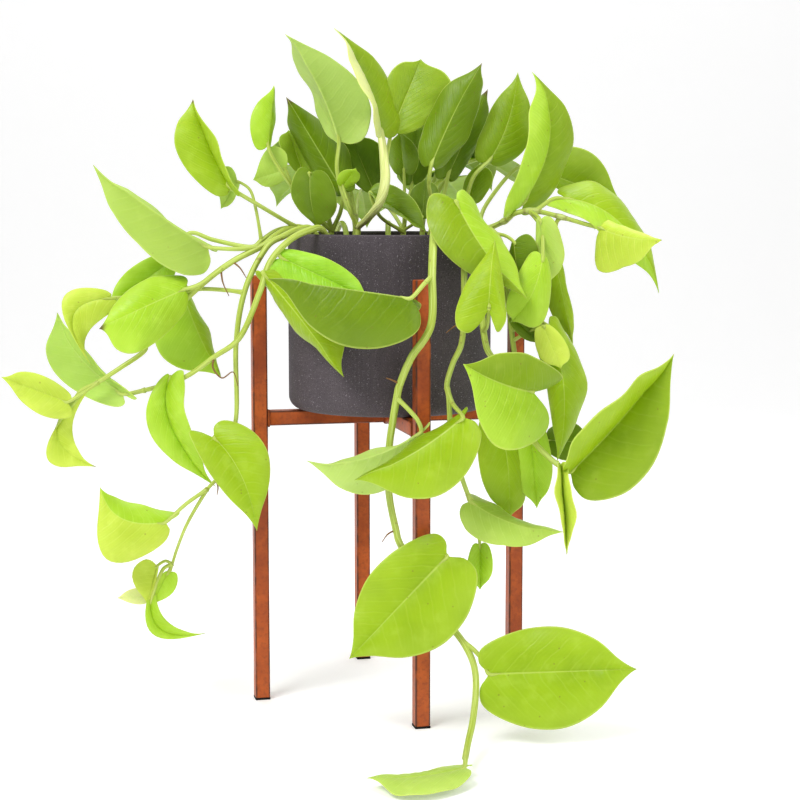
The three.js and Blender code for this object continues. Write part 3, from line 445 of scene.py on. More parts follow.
SPRAYS = [
    Spray("spray_crown_tall", (3.4, 2.8), [(358, 262, 14), (358, 236, 16), (358, 222, 18)], [
        Leaf((339, 142, 12), (285, 34, 25), ((371, 108, -0.3), (313, 104, -0.9)), mid=(317, 84, 10),
             tone=Tone.PALE, face=-1, lobe=0.2, stalk=[(358, 228, 17), (345, 200, 16), (337, 170, 16)]),
        Leaf((381, 134, 30), (334, 28, 30), ((401, 107, -0.75), (369, 106, 0.95)), mid=(366, 81, 24),
             tone=Tone.OLIVE, second=Tone.CREAM, lobe=0.4,
             stalk=[(358, 224, 18), (367, 219, 40), (379, 203, 60), (385, 182, 60), (384, 158, 40)],
             sheath=2.9),
        Leaf((391, 133, 12), (421, 59, -10), ((384, 88, -0.2), (446, 104, -0.2)), tone=Tone.OLIVE,
             lobe=0.6, stalk=[(358, 224, 18), (376, 205, 52), (383, 182, 54), (387, 156, 32)]),
        Leaf((343, 186, 28), (356, 168, 40), ((338, 176, 0), (357, 182, 0)), tone=Tone.LIME,
             stalk=[(357, 230, 20), (350, 208, 27)]),
    ]),
    Spray("spray_crown_left", (3.2, 2.6), [(330, 262, -6), (331, 240, -6), (332, 226, -6)], [
        Leaf((343, 191, -8), (286, 97, -22), ((309, 170, -0.5), (348, 155, -0.7)), mid=(314, 143, -16),
             tone=Tone.DARK, lobe=0.5, wither=0.12),
        Leaf((303, 173, -28), (288, 130, -38), ((282, 152, 0), (318, 150, 0)), tone=Tone.OLIVE),
        Leaf((310, 173, 18), (318, 229, 20), ((291, 186, 0.3), (336, 194, 0)), mid=(311, 202, 22),
             tone=Tone.DARK),
        Leaf((268, 146, 10), (274, 85, 5), ((250, 128, 0), (273, 128, -0.95)), tone=Tone.LIME,
             stalk=[(325, 226, 0), (296, 192, 6), (274, 160, 10)]),
        Leaf((286, 170, -6), (253, 180, -10), ((275, 146, 0), (277, 185, 0)), tone=Tone.PALE,
             stalk=[(322, 228, -2), (302, 205, -4)]),
    ]),
    Spray("spray_crown_middle", (3.2, 2.6), [(402, 262, -12), (403, 240, -12), (404, 224, -10)], [
        Leaf((404, 172, -5), (400, 131, -20), ((388, 160, 0), (419, 160, 0)), tone=Tone.DARK),
        Leaf((370, 193, 28), (427, 233, 46), ((388, 209, 0.6), (399, 188, -0.2)), tone=Tone.DARK,
             lobe=0.5, stalk=[(402, 232, -8), (380, 216, 22)]),
        Leaf((374, 192, -40), (350, 134, -50), ((342, 165, 0), (388, 160, 0)), tone=Tone.DARK),
        Leaf((412, 184, -42), (418, 120, -52), ((396, 154, 0), (436, 152, 0)), tone=Tone.DARK),
        Leaf((422, 218, 5), (426, 178, -5), ((409, 202, 0), (438, 200, 0)), tone=Tone.DARK),
    ]),
    Spray("spray_crown_right", (3.2, 2.6), [(438, 262, -8), (437, 240, -8), (436, 222, -4)], [
        Leaf((431, 166, 34), (482, 63, 26), ((424, 124, -0.4), (468, 134, -0.6)), mid=(454, 113, 31),
             tone=Tone.DARK, lobe=0.5, stalk=[(436, 228, -4), (433, 205, 12), (429, 185, 26)],
             wither=0.05),
        Leaf((448, 176, -20), (488, 89, -32), ((440, 143, -0.3), (476, 150, -0.3)), tone=Tone.DARK,
             stalk=[(438, 226, -6), (443, 200, -16)], wither=0.12),
    ]),
    Spray("spray_crown_far_right", (3.2, 2.6), [(450, 262, -32), (455, 240, -28), (460, 224, -20)], [
        Leaf((489, 161, 5), (518, 72, -5), ((479, 136, -0.3), (525, 148, -0.3)), mid=(508, 122, 5),
             tone=Tone.OLIVE, lobe=0.6, stalk=[(460, 226, -20), (466, 200, -6), (474, 176, 3)]),
        Leaf((470, 203, -22), (480, 163, -38), ((463, 188, 0), (491, 186, 0)), tone=Tone.OLIVE,
             stalk=[(459, 228, -20), (465, 214, -24)]),
    ]),
    Spray("spray_vine_right", (3.6, 2), [
        (446, 262, -10), (466, 230, -6), (488, 228, 6), (506, 220, 28), (516, 213, 40), (535, 211, 44),
        (561, 217, 48), (585, 224, 52), (600, 228, 56),
    ], [
        Leaf((523, 203, 35), (532, 72, 45), ((518, 172, 0.4), (567, 168, -0.4)), mid=(550, 134, 40),
             tone=Tone.LIME, second=Tone.OLIVE, width=1.15, stalk=[(500, 224, 30), (509, 212, 34)]),
        Leaf((566, 199, 38), (659, 293, 55), ((604, 187, -0.8), (578, 218, 0.3)), mid=(622, 225, 44),
             second=Tone.LIME, stalk=[(535, 211, 44), (553, 199, 42)]),
        Leaf((600, 228, 56), (662, 240, 112), ((622, 221, -0.6), (608, 286, 0)), mid=(632, 238, 90),
             tone=Tone.YELLOW, lobe=0.3, taper=0.45, stalk=[]),
        Leaf((548, 174, -10), (620, 200, -30), ((576, 147, -0.2), (575, 198, -0.2)), tone=Tone.OLIVE,
             stalk=[(478, 229, 1), (486, 205, -8), (513, 171, -12), (531, 167, -12)], wither=0.05),
        Leaf((540, 220, 74), (546, 288, 80), ((536, 246, 0), (563, 242, -0.4)), tone=Tone.PALE,
             stalk=[(530, 212, 44), (537, 216, 60)]),
        Leaf((543, 256, 94), (511, 322, 110), ((513, 284, 0), (549, 307, 0)), mid=(532, 294, 116),
             tone=Tone.LIME, width=1.15, stalk=[(530, 212, 44), (541, 228, 66)]),
        Leaf((553, 250, 40), (573, 345, 45), ((545, 285, -0.3), (566, 282, -0.3))),
    ]),
    Spray("spray_vine_third", (3.8, 2.6), [
        (452, 262, 30), (466, 228.5, 56), (479, 229, 80), (482, 260, 104), (481, 300, 116),
        (486, 345, 126), (497, 365, 128), (515, 405, 134), (533, 440, 142), (552, 460, 154),
        (566, 470, 164),
    ], [
        Leaf((456, 201, 112), (527, 299, 140), ((430, 232, 0), (490, 224, -0.8)), mid=(486, 253, 132),
             tone=Tone.OLIVE, second=Tone.LIME, stalk=[(481, 238, 84), (466, 214, 100)]),
        Leaf((489, 309, 165), (495, 240, 137), ((455, 322, 0.3), (505, 320, 0.3)), mid=(491, 272, 160),
             stalk=[(483, 330, 124), (487, 326, 146)]),
        Leaf((533, 392, 152), (463, 364, 195), ((509, 450, 0.1), (534, 357, -0.6)), mid=(498, 382, 180),
             tone=Tone.LIME, second=Tone.OLIVE, lobe=3.2),
        Leaf((570, 472, 166), (674, 354, 170), ((589, 424, 0.8), (630, 490, 0)), mid=(624, 416, 162),
             second=Tone.OLIVE, lobe=0.4, stalk=[]),
        Leaf((560, 468, 162), (567, 555, 166), ((557, 490, 0.9), (573, 494, 0.8)), mid=(563, 512, 170),
             tone=Tone.YELLOW, stalk=[], wither=0.04),
    ]),
    Spray("spray_vine_fourth", (3.4, 2.2), [
        (450, 262, 12), (472, 229, 24), (490, 229.5, 42), (503, 250, 72), (508, 300, 92),
        (514, 350, 100), (520, 390, 102), (532, 430, 104), (548, 448, 104),
    ], [
        Leaf((514, 242, 76), (524, 299, 80), ((511, 262, -0.9), (538, 246, 0)), mid=(517, 268, 78),
             tone=Tone.DARK, stalk=[(495, 234, 50), (506, 236, 62)], wither=0.35),
        Leaf((513, 318, 105), (541, 344, 112), ((516, 332, 0), (536, 325, 0)), tone=Tone.DARK),
        Leaf((548, 326, 112), (557, 461, 118), ((540, 352, -0.3), (580, 360, -0.5)), mid=(564, 392, 126)),
        Leaf((543, 326, 120), (561, 369, 134), ((536, 348, 0), (566, 343, 0)), tone=Tone.YELLOW,
             stalk=[(514, 340, 98), (530, 331, 108)]),
        Leaf((498, 415, 114), (508, 520, 122), ((478, 455, 0), (524, 462, -0.5)), mid=(508, 468, 122)),
        Leaf((530, 418, 112), (537, 509, 116), ((514, 455, 0), (551, 452, 0)), tone=Tone.LIME),
        Leaf((548, 440, 92), (591, 443, 96), ((565, 422, 0), (562, 460, 0)), tone=Tone.DARK),
    ]),
    Spray("spray_vine_second", (3.6, 2.2), [
        (448, 262, 48), (457, 228.5, 76), (463, 230, 100), (464, 250, 114), (464, 300, 122),
        (462, 341, 130), (453, 363, 134), (447, 384, 138), (449, 400, 140), (451, 440, 140),
        (457, 462, 142), (464, 484, 146), (470, 500, 150),
    ], [
        Leaf((463, 417, 190), (355, 480, 186), ((431, 433, -0.6), (459, 482, 0)), mid=(412, 454, 196),
             tone=Tone.OLIVE, second=Tone.MID, stalk=[(446, 388, 139), (453, 404, 158)]),
        Leaf((470, 501, 150), (563, 532, 160), ((497, 505, -0.95), (484, 550, 0)), mid=(514, 524, 158),
             tone=Tone.PALE, width=1.12, taper=0.35, stalk=[]),
        Leaf((480, 545, 140), (480, 590, 142), ((467, 562, 0.3), (493, 560, 0.3)), tone=Tone.LIME),
    ]),
    Spray("spray_vine_front", (4, 3), [
        (428, 262, 58), (433, 228.5, 86), (434, 229, 106), (433, 248, 128), (432, 274, 152),
        (431, 325, 156), (411, 358, 152), (400, 384, 146), (397, 397, 144), (393, 420, 142),
        (389, 451, 140), (389, 493, 140), (396, 530, 142), (402, 548, 144), (430, 600, 150),
        (454, 630, 158), (466, 647, 164), (474, 666, 172), (476, 688, 184), (473, 719, 210),
        (468, 743, 242), (465, 759, 272),
    ], [
        Leaf((411, 298, 168), (268, 279, 154), ((372, 312, -0.85), (370, 349, 0)), mid=(340, 288, 167),
             tone=Tone.DARK, stalk=[(432, 276, 152), (424, 284, 163)]),
        Leaf((421, 432, 166), (307, 461, 152), ((392, 445, -0.45), (393, 486, 0)), mid=(364, 459, 162),
             tone=Tone.PALE, face=-1, stalk=[(398, 398, 145), (409, 410, 156), (418, 421, 164)]),
        Leaf((447, 556, 160), (349, 659, 165), ((389, 555, 0), (463, 623, 0))),
        Leaf((489, 674, 178), (637, 669, 185), ((530, 628, 0), (534, 729, 0)),
             stalk=[(462, 641, 162), (474, 650, 168), (484, 662, 174)]),
        Leaf((464, 768, 298), (367, 778, 316), ((440, 770, -0.7), (436, 794, 0.95)),
             mid=(415, 777, 313), tone=Tone.PALE, width=1.2, stalk=[]),
    ]),
    Spray("spray_vine_left_upper", (3.6, 2.2), [
        (318, 262, 2), (304, 229, 12), (290, 228.5, 24), (275, 236, 44), (262, 246, 60), (230, 263, 70),
        (198, 288, 66), (150, 335, 60), (144, 351, 66), (120, 368, 74), (86, 390, 80),
    ], [
        Leaf((208, 247, 70), (93, 165, 70), ((177, 224, -0.95), (153, 267, 0)), mid=(149, 208, 85),
             face=-1, taper=0.25, stalk=[(262, 247, 66), (235, 249, 70)]),
        Leaf((111, 298, 64), (92, 366, 80), ((72, 290, 0), (98, 322, 0)), mid=(73, 317, 71),
             tone=Tone.YELLOW, width=1.1, lobe=0.3, stalk=[(196, 290, 66), (150, 296, 58)]),
        Leaf((82, 390, 84), (97, 467, 85), ((50, 439, 0), (76, 412, 0)), mid=(57, 436, 85),
             tone=Tone.YELLOW, lobe=0.3, stalk=[], wither=0.04),
        Leaf((67, 402, 92), (1, 377, 112), ((48, 378, 0), (50, 418, 0)), tone=Tone.YELLOW,
             stalk=[(88, 389, 80), (78, 396, 88)]),
        Leaf((185, 289, 75), (99, 329, 100), ((150, 279, -0.4), (152, 345, 0)), mid=(142, 308, 98),
             tone=Tone.LIME, stalk=[(222, 268, 69), (200, 284, 74)], wither=0.1),
        Leaf((231, 188, 56), (193, 99, 46), ((184, 166, -0.2), (226, 165, 0.4)), mid=(208, 142, 56),
             stalk=[(297, 228, 18), (262, 207, 48)], wither=0.07),
    ]),
    Spray("spray_vine_left_long", (3.6, 1.4), [
        (322, 262, 30), (312, 229.5, 40), (300, 229, 50), (284, 236, 66), (266, 248, 78),
        (245, 290, 78), (236, 345, 74), (236, 418, 80), (222, 470, 84), (207, 490, 86), (188, 522, 84),
        (177, 549, 80), (170, 572, 80),
    ], [
        Leaf((183, 293, 36), (221, 377, 34), ((154, 338, 0), (200, 314, -0.7)), mid=(200, 337, 40),
             tone=Tone.LIME, stalk=[(243, 292, 77), (225, 290, 62), (200, 289, 46)]),
        Leaf((214, 438, 95), (257, 531, 105), ((199, 455, 0), (258, 436, 0)), mid=(242, 477, 105),
             lobe=1.4),
        Leaf((166, 522, 92), (100, 487, 95), ((150, 508, -0.8), (122, 563, 0)), mid=(121, 518, 105),
             tone=Tone.LIME, second=Tone.YELLOW, stalk=[(207, 488, 86), (186, 504, 90)]),
        Leaf((157, 566, 80), (147, 604, 85), ((134, 568, 0), (156, 582, 0)), tone=Tone.YELLOW),
        Leaf((168, 573, 80), (152, 605, 82), ((156, 583, 0), (177, 585, 0)), tone=Tone.LIME, stalk=[]),
        Leaf((148, 596, 78), (117, 598, 75), ((140, 588, 0), (144, 604, 0)), tone=Tone.CREAM),
        Leaf((151, 600, 84), (206, 633, 88), ((147, 626, 0), (161, 613, 0)), mid=(163, 631, 90),
             tone=Tone.LIME),
    ]),
    Spray("spray_vine_left_front", (3.6, 2.2), [
        (332, 262, 54), (322, 229.5, 68), (310, 230, 82), (290, 240, 96), (270, 262, 99),
        (259, 294, 97), (240, 337, 96), (214, 357, 86), (179, 380, 72), (126, 395, 66),
    ], [
        Leaf((123, 394, 66), (57, 312, 58), ((68, 386, -0.2), (103, 370, 0.3)), mid=(77, 353, 60),
             tone=Tone.LIME, face=-1, stalk=[]),
        Leaf((170, 377, 71), (216, 487, 72), ((146, 414, 0), (185, 402, 0.3)), mid=(172, 427, 74),
             tone=Tone.LIME),
        Leaf((282, 258, 98), (372, 300, 122), ((322, 257, 0), (290, 292, 0)), tone=Tone.BRIGHT),
        Leaf((263, 273, 102), (344, 377, 128), ((277, 303, -0.7), (318, 292, -0.2)),
             mid=(306, 326, 114), lobe=0.4),
    ]),
    Spray("spray_vine_left_high", (3, 2), [
        (324, 262, -28), (308, 229, -18), (292, 227.5, -4), (276, 231, 16), (262, 240, 42),
        (250, 247, 46), (214, 240, 32), (190, 233, 22), (172, 250, 20),
    ], [
        Leaf((170, 262, 20), (106, 308, 28), ((140, 262, 0), (155, 300, 0)), tone=Tone.LIME, stalk=[]),
        Leaf((237, 181, 37), (221, 209, 30), ((222, 168, 0), (236, 196, 0)), tone=Tone.PALE,
             stalk=[(264, 240, 45), (256, 210, 43), (250, 190, 40)]),
    ]),
]

# The brown air roots at the nodes, each as the points that it passes.
AIR_ROOTS: dict[str, list[list[Point]]] = {
    "spray_vine_left_upper": [
        [(233, 262, 70), (240, 268, 74), (247, 279, 75)],
        [(221, 270, 69), (223, 283, 72), (229, 296, 72)],
    ],
    "spray_vine_left_front": [
        [(214, 357, 86), (213, 368, 89), (222, 378, 91), (233, 372, 89), (238, 386, 87)],
    ],
    "spray_vine_left_long": [[(216, 480, 86), (218, 487, 88), (217, 495, 88)]],
    "spray_vine_front": [
        [(389, 455, 140), (378, 451, 142), (364, 455, 144), (354, 461, 142)],
        [(396, 530, 142), (388, 534, 145), (382, 542, 144)],
        [(400, 384, 146), (392, 380, 150), (386, 378, 152)],
    ],
    "spray_vine_second": [[(463, 325, 127), (455, 326, 131), (446, 333, 132)]],
}


@dataclass(frozen=True)
class RearTuft:
    """Leaves on the far side that lean away from the front, fanned round one short stem.

    Attributes:
        name: the node that it stands for.
        root: where its stem stands, as x and back.
        turn: the first and last leaf's turn from straight back, in degrees.
        height: how far above the stem's top the first and last blade begin.
        leaves: how many leaves it has.
        radius: the stem's radius at the soil and at its end.
        stem: the stem's height.
        reach: how far out the blades begin, every other one.
        length: how long the blades are, every other one.
        drop: how much the blades fall towards their tips.
        bend: how far down its stem's middle point lies.
        lower: how much lower every other blade begins.
        bow: how far along and how far up a stalk's middle point lies.
        cup: how far the halves tilt up, every other one.
    """

    name: str
    root: tuple[float, float]
    turn: tuple[float, float]
    height: tuple[float, float]
    leaves: int = 4
    radius: tuple[float, float] = (3.2, 2.6)
    stem: float = 38.0
    reach: tuple[float, float] = (44.0, 62.0)
    length: tuple[float, float] = (86.0, 98.0)
    drop: float = 0.42
    bend: float = 0.4
    lower: float = 14.0
    bow: tuple[float, float] = (0.55, 0.75)
    cup: tuple[float, float] = (0.35, 0.15)


@dataclass(frozen=True)
class RearVine:
    """A short vine over the back of the rim, its leaves set left and right by turns.

    Attributes:
        name: the node that it stands for.
        root: where its stem stands, as x and back.
        rim: where it crosses the rim.
        out: where it starts to hang.
        leaves: how many leaves it has.
        radius: the stem's radius at the soil and at its end.
        crest: how high above the rim it passes.
        foot: the height of its end.
        side: how far to a side its blades begin.
        outward: how far outside the stem its blades begin.
        length: how long its first and last blades are.
        bend: how far along the way to the rim its first bend lies.
        rise: how high above the rim that bend is.
        hang: how far below the rim it starts to hang straight.
        end: how much nearer the middle and how much further back its end is.
        first: how far down its first blade begins, in steps from blade to blade.
        lift: how much higher than its node a blade begins.
        cup: how far the blades' halves tilt up.
        lean: how far a blade turns back towards the middle.
        slant: how far to a side, back and down a blade's tip lies, as shares of its length.
        lowest: the lowest height of a tip.
    """

    name: str
    root: tuple[float, float]
    rim: tuple[float, float]
    out: tuple[float, float]
    leaves: int = 3
    radius: tuple[float, float] = (3.2, 2.0)
    crest: float = 6.0
    foot: float = 318.0
    side: float = 16.0
    outward: float = 32.0
    length: tuple[float, float] = (72.0, 62.0)
    bend: float = 0.4
    rise: float = 5.0
    hang: float = 24.0
    end: tuple[float, float] = (0.9, 6.0)
    first: float = 0.3
    lift: float = 8.0
    cup: float = 0.2
    lean: float = 0.1
    slant: tuple[float, float, float] = (0.3, 0.35, 0.85)
    lowest: float = 288.0


REAR_TUFTS = [
    RearTuft("spray_rear_tuft_left", (-36.0, 44.0), (-62.0, 4.0), (74.0, 38.0)),
    RearTuft("spray_rear_tuft_right", (34.0, 46.0), (2.0, 64.0), (40.0, 70.0)),
]
REAR_VINES = [
    RearVine("spray_rear_vine_left", (-44.0, 56.0), (-54.0, 92.0), (-62.0, 122.0)),
    RearVine("spray_rear_vine_middle", (-2.0, 68.0), (-2.0, 106.0), (-2.0, 164.0)),
    RearVine("spray_rear_vine_right", (44.0, 58.0), (52.0, 94.0), (58.0, 124.0)),
]


def bowed(base: Array, mid: Array, tip: Array, share: Array) -> Array:
    """The points of the parabola through base, mid and tip at the shares of its way."""
    share = np.asarray(share, float)[..., None]
    pull = 2 * mid - (base + tip) / 2
    start, end = (1 - share) ** 2 * base, share**2 * tip
    return start + 2 * share * (1 - share) * pull + end


@dataclass
class Placed:
    """A leaf in its place, in millimetres: the fields of a Leaf with their points worked out."""

    base: Array
    tip: Array
    mid: Array
    stalk: list[Array] | None
    outward: tuple[Array, Array]
    upper: tuple[Array, Array]
    leaf: Leaf

    @property
    def length(self) -> float:
        """The distance from base to tip."""
        return float(np.linalg.norm(self.tip - self.base))

    @property
    def curl(self) -> Array:
        """The way up between the two halves."""
        return unit(self.upper[0] + self.upper[1])

    def midrib(self, share: Array) -> Array:
        """The midrib's points: a parabola through base, halfway point and tip."""
        return bowed(self.base, self.mid, self.tip, share)


HALF_WIDTH = 0.39
WIDEST = 0.27
REAR_BEND = 0.1
REAR_FACING = 0.3
NOWHERE: Point = (0, 0, 0)

# Half a blade's outline as shares of its length, along and out, from the base round the lobe to the
# tip, with one point more before and after it for the smooth curve that passes through them.
HEART = np.array([
    [-0.07, -0.1], [0, 0], [-0.07, 0.1], [-0.06, 0.22], [0.07, 0.32], [0.27, 0.39],
    [0.5, 0.385], [0.72, 0.27], [0.88, 0.09], [1, 0], [1.1, 0],
])
# Where the columns of a blade's grid stand between midrib and edge, closer at both.
ACROSS = np.array([0, 0.03, 0.08, 0.16, 0.28, 0.42, 0.56, 0.7, 0.82, 0.91, 0.965, 1.0])


def placed_leaf(leaf: Leaf, base: Array, tip: Array, mid: Array, stalk: list[Array] | None,
                outward: tuple[Array, Array], towards: Array) -> Placed:
    """Works out which way is up on a leaf's two halves.

    Args:
        leaf: the leaf as given.
        base: its base.
        tip: its tip.
        mid: the midrib's halfway point.
        stalk: the points that its stalk passes.
        outward: the ways from the midrib to the edges.
        towards: the way that its upper side faces, roughly.

    Returns:
        The leaf in its place.
    """
    along = unit(tip - base)
    first = unit(np.cross(along, outward[0]))
    second = unit(np.cross(outward[1], along))
    sign = 1.0 if float((first + second) @ towards) > 0 else -1.0
    return Placed(base, tip, mid, stalk, outward, (first * sign, second * sign), leaf)


def seen_leaf(leaf: Leaf) -> Placed:
    """Places a leaf from where it is seen."""
    base, tip = VIEW.seen(leaf.base), VIEW.seen(leaf.tip)
    mid = VIEW.seen(leaf.mid) if leaf.mid else (base + tip) / 2
    widest = bowed(base, mid, tip, np.array(WIDEST))
    half = HALF_WIDTH * leaf.width * float(np.linalg.norm(tip - base))
    outward = (VIEW.edge(leaf.edges[0], widest, half), VIEW.edge(leaf.edges[1], widest, half))
    stalk = None if leaf.stalk is None else [VIEW.seen(point) for point in leaf.stalk]
    towards = (np.array(VIEW.eye) - widest) * leaf.face
    return placed_leaf(leaf, base, tip, mid, stalk, outward, towards)


def rear_leaf(base: Array, tip: Array, cup: float, stalk: list[Array] | None, tone: Tone) -> Placed:
    """Places a leaf of the far side, its two halves tilted up by the cup's angle."""
    along = unit(tip - base)
    level = unit(np.cross(along, [0.0, 0.0, 1.0]))
    up = np.cross(level, along)
    half = HALF_WIDTH * float(np.linalg.norm(tip - base))
    sides = tuple((level * sign * np.cos(cup) + up * np.sin(cup)) * half for sign in (1, -1))
    mid = (base + tip) / 2 + np.array([0.0, 0.0, REAR_BEND * float(np.linalg.norm(tip - base))])
    leaf = Leaf(NOWHERE, NOWHERE, (NOWHERE, NOWHERE), tone=tone)
    return placed_leaf(leaf, base, tip, mid, stalk, (sides[0], sides[1]), up + REAR_FACING * along)


class LeafSlot(Enum):
    """The finishes of a spray, in the order of its material slots."""

    UPPER = 0
    UNDER = 1
    STALK = 2
    ROOT = 3


@dataclass(frozen=True)
class BladeForm:
    """The forms of a blade, as shares of its length or in millimetres."""

    row_step: float = 2.6
    rows: tuple[int, int] = (16, 42)
    full_size: float = 90.0
    taper_from: float = 0.35
    taper_over: float = 0.25
    taper_end: float = 0.1
    ripple: float = 0.008
    ripple_turns: float = 5.3
    ripple_shift: float = 2.1
    rib_width: float = 1.3
    rim_thinning: float = 0.2
    thickness: float = 0.8
    puff: float = 0.03
    wave: float = 0.024
    wave_turns: float = 2.4
    wave_shift: float = 2.0
    curl_from: float = 0.7
    curl: float = 0.02
    lobe_depth: float = 0.09
    groove: float = 0.4
    groove_width: float = 1.6
    rib: float = 0.6
    quilt: float = 0.3
    veins: int = 9
    vein_sweep: float = 0.3
    vein_curve: float = 1.25

    def heart(self, around: Array, leaf: Leaf) -> tuple[Array, Array]:
        """The outline of half a blade, as shares of the length along and out.

        A Catmull-Rom curve through a few points from the base round the lobe to the tip.

        Args:
            around: the share of the way round, from base to tip.
            leaf: the leaf, for its lobe and its taper.

        Returns:
            How far along and how far out each point lies.
        """
        spans = len(HEART) - 3
        place = np.clip(around, 0, 1) * spans
        span = np.minimum(place.astype(int), spans - 1)
        share = (place - span)[..., None]
        a, b, c, d = (HEART[span + step] for step in range(4))
        curve = 0.5 * (2 * b + (c - a) * share + (2 * a - 5 * b + 4 * c - d) * share**2
                       + (3 * b - a - 3 * c + d) * share**3)
        along, out = curve[..., 0], np.maximum(curve[..., 1], 0)
        deep = (leaf.lobe - 1) * self.lobe_depth * np.sin(2 * np.pi * np.minimum(around, 0.5))
        narrow = np.clip((around - self.taper_from) / self.taper_over, 0, 1)
        narrow = narrow * np.clip((1 - around) / self.taper_end, 0, 1)
        return along - deep, out * (1 - leaf.taper * narrow)

    def patch(self, placed: Placed, seed: float) -> Patch:
        """The blade's closed skin.

        Each half is a grid of points: around runs from base to tip along the edge and across from
        the midrib to the edge. A point lies on the midrib at a place between the rib's own and the
        edge's, moved out by its share of the half's width, then raised by a swell between midrib
        and edge, a wave along the edge, a quilting between the side veins and a dip at the midrib.
        The underside is the same grid, a blade's thickness lower, with the midrib raised on it.

        Args:
            placed: the leaf in its place.
            seed: a number that sets this leaf's own waves.

        Returns:
            The patch, upper side, underside and rim.
        """
        leaf, length = placed.leaf, placed.length
        rows = int(np.clip(length / self.row_step, *self.rows))
        around = np.linspace(0, 1, rows + 1)[:, None]
        across = ACROSS[None, :]
        along, out = self.heart(around, leaf)
        out = out / HALF_WIDTH
        rib = around**2
        place = rib + across * (along - rib)
        sheets, shares = [], []
        for side in (0, 1):
            upper = placed.upper[side]
            point = placed.midrib(place) + (out * across)[..., None] * placed.outward[side]
            turn = 2 * np.pi * self.wave_turns * around + self.wave_shift * (1 - side) + length
            fine = 2 * np.pi * self.ripple_turns * around + seed + self.ripple_shift * side
            fine = self.ripple * np.sin(fine) * across**3
            swell = self.puff * 4 * across * (1 - across) + (self.wave * np.sin(turn)) * across**2 + fine
            veined = self.veins * (place - self.vein_sweep * (out * across) ** self.vein_curve)
            quilt = self.quilt * np.cos(2 * np.pi * veined) * np.sin(np.pi * across) ** 0.7
            small = min(length / self.full_size, 1.0)
            width = out * across * HALF_WIDTH * length
            dip = self.groove * np.exp(-((width / self.groove_width) ** 2)) * np.clip(1.2 - place, 0, 1)
            lift = swell * out * length - (quilt * out + dip) * small
            sheets.append(point + lift[..., None] * upper)
            shares.append(width)
        curl = self.curl * length * np.sin(
            np.pi * np.clip((place - self.curl_from) / (1 - self.curl_from), 0, 1))
        columns = 2 * across.shape[1] - 1
        skin = np.concatenate([sheets[0][:, ::-1], sheets[1][:, 1:]], 1)
        both = np.concatenate([place[:, ::-1], place[:, 1:]], 1)
        rise = np.concatenate([curl[:, ::-1], curl[:, 1:]], 1)
        skin = skin + rise[..., None] * placed.curl
        reach = out * across
        signed = np.concatenate([-reach[:, ::-1], reach[:, 1:]], 1)
        rim = np.broadcast_to(across, place.shape)
        rim = np.concatenate([rim[:, ::-1], rim[:, 1:]], 1)
        width = np.concatenate([shares[0][:, ::-1], shares[1][:, 1:]], 1)
        normal = unit(np.cross(np.gradient(skin, axis=0), np.gradient(skin, axis=1)))
        normal[[0, -1]] = normal[[1, -2]]
        flip = float(np.sum(normal[rows // 3, columns // 2] * placed.curl)) < 0
        normal = -normal if flip else normal
        ridge = self.rib * np.exp(-((width / self.rib_width) ** 2)) * np.clip(1.15 - both, 0, 1)
        edge = self.thickness * (0.5 - self.rim_thinning * smoothstep(rim, 0.95, 1.0))[..., None]
        above = skin + normal * edge
        below = skin - normal * (edge + ridge[..., None])
        number = np.arange((rows + 1) * columns).reshape(rows + 1, columns)
        number[0], number[-1] = number[0, 0], number[-1, 0]
        cells = whole(number.ravel()[grid_triangles(rows + 1, columns, False)])
        count = (rows + 1) * columns
        top, bottom = (cells, cells[:, ::-1] + count) if flip else (cells[:, ::-1], cells + count)
        loop = np.concatenate([number[:, 0], number[::-1, -1][1:]])
        here, beyond = loop[:-1], loop[1:]
        wall = np.vstack([
            np.stack([here, beyond, beyond + count], -1),
            np.stack([here, beyond + count, here + count], -1),
        ])
        wall = whole(wall if flip else wall[:, ::-1])
        triangles = np.vstack([top, bottom, wall])
        slots = np.concatenate([
            np.full(len(top), LeafSlot.UPPER.value), np.full(len(bottom), LeafSlot.UNDER.value),
            np.full(len(wall), LeafSlot.UPPER.value),
        ])
        uv = np.stack([both, 0.5 + 0.5 * signed], -1).reshape(-1, 2)
        tone = self.tones(leaf, both, signed).reshape(-1, 4)
        return Patch(
            np.vstack([above.reshape(-1, 3), below.reshape(-1, 3)]), triangles,
            np.vstack([uv, uv]), np.vstack([tone, tone]),
            np.concatenate([rim.ravel(), rim.ravel()]), slots,
        )

    @staticmethod
    def tones(leaf: Leaf, place: Array, signed: Array) -> Array:
        """The leaf's own green at each point, with its second half's green mixed in as painted light and
        shade where that half catches other light, and its withered tip's brown.
        """
        first = np.array(linear(*leaf.tone.value))
        second = np.array(linear(*(leaf.second or leaf.tone).value))
        # painted light and shade: the second half takes its own paler or darker green
        share = smoothstep(signed, -0.03, 0.03)[..., None]
        tone = first * (1 - share) + second * share
        if leaf.wither:
            dry = smoothstep(place, 1 - leaf.wither, 1 - 0.3 * leaf.wither)[..., None]
            tone = tone * (1 - dry) + np.array(linear(*Tone.BROWN.value)) * dry
        return tone


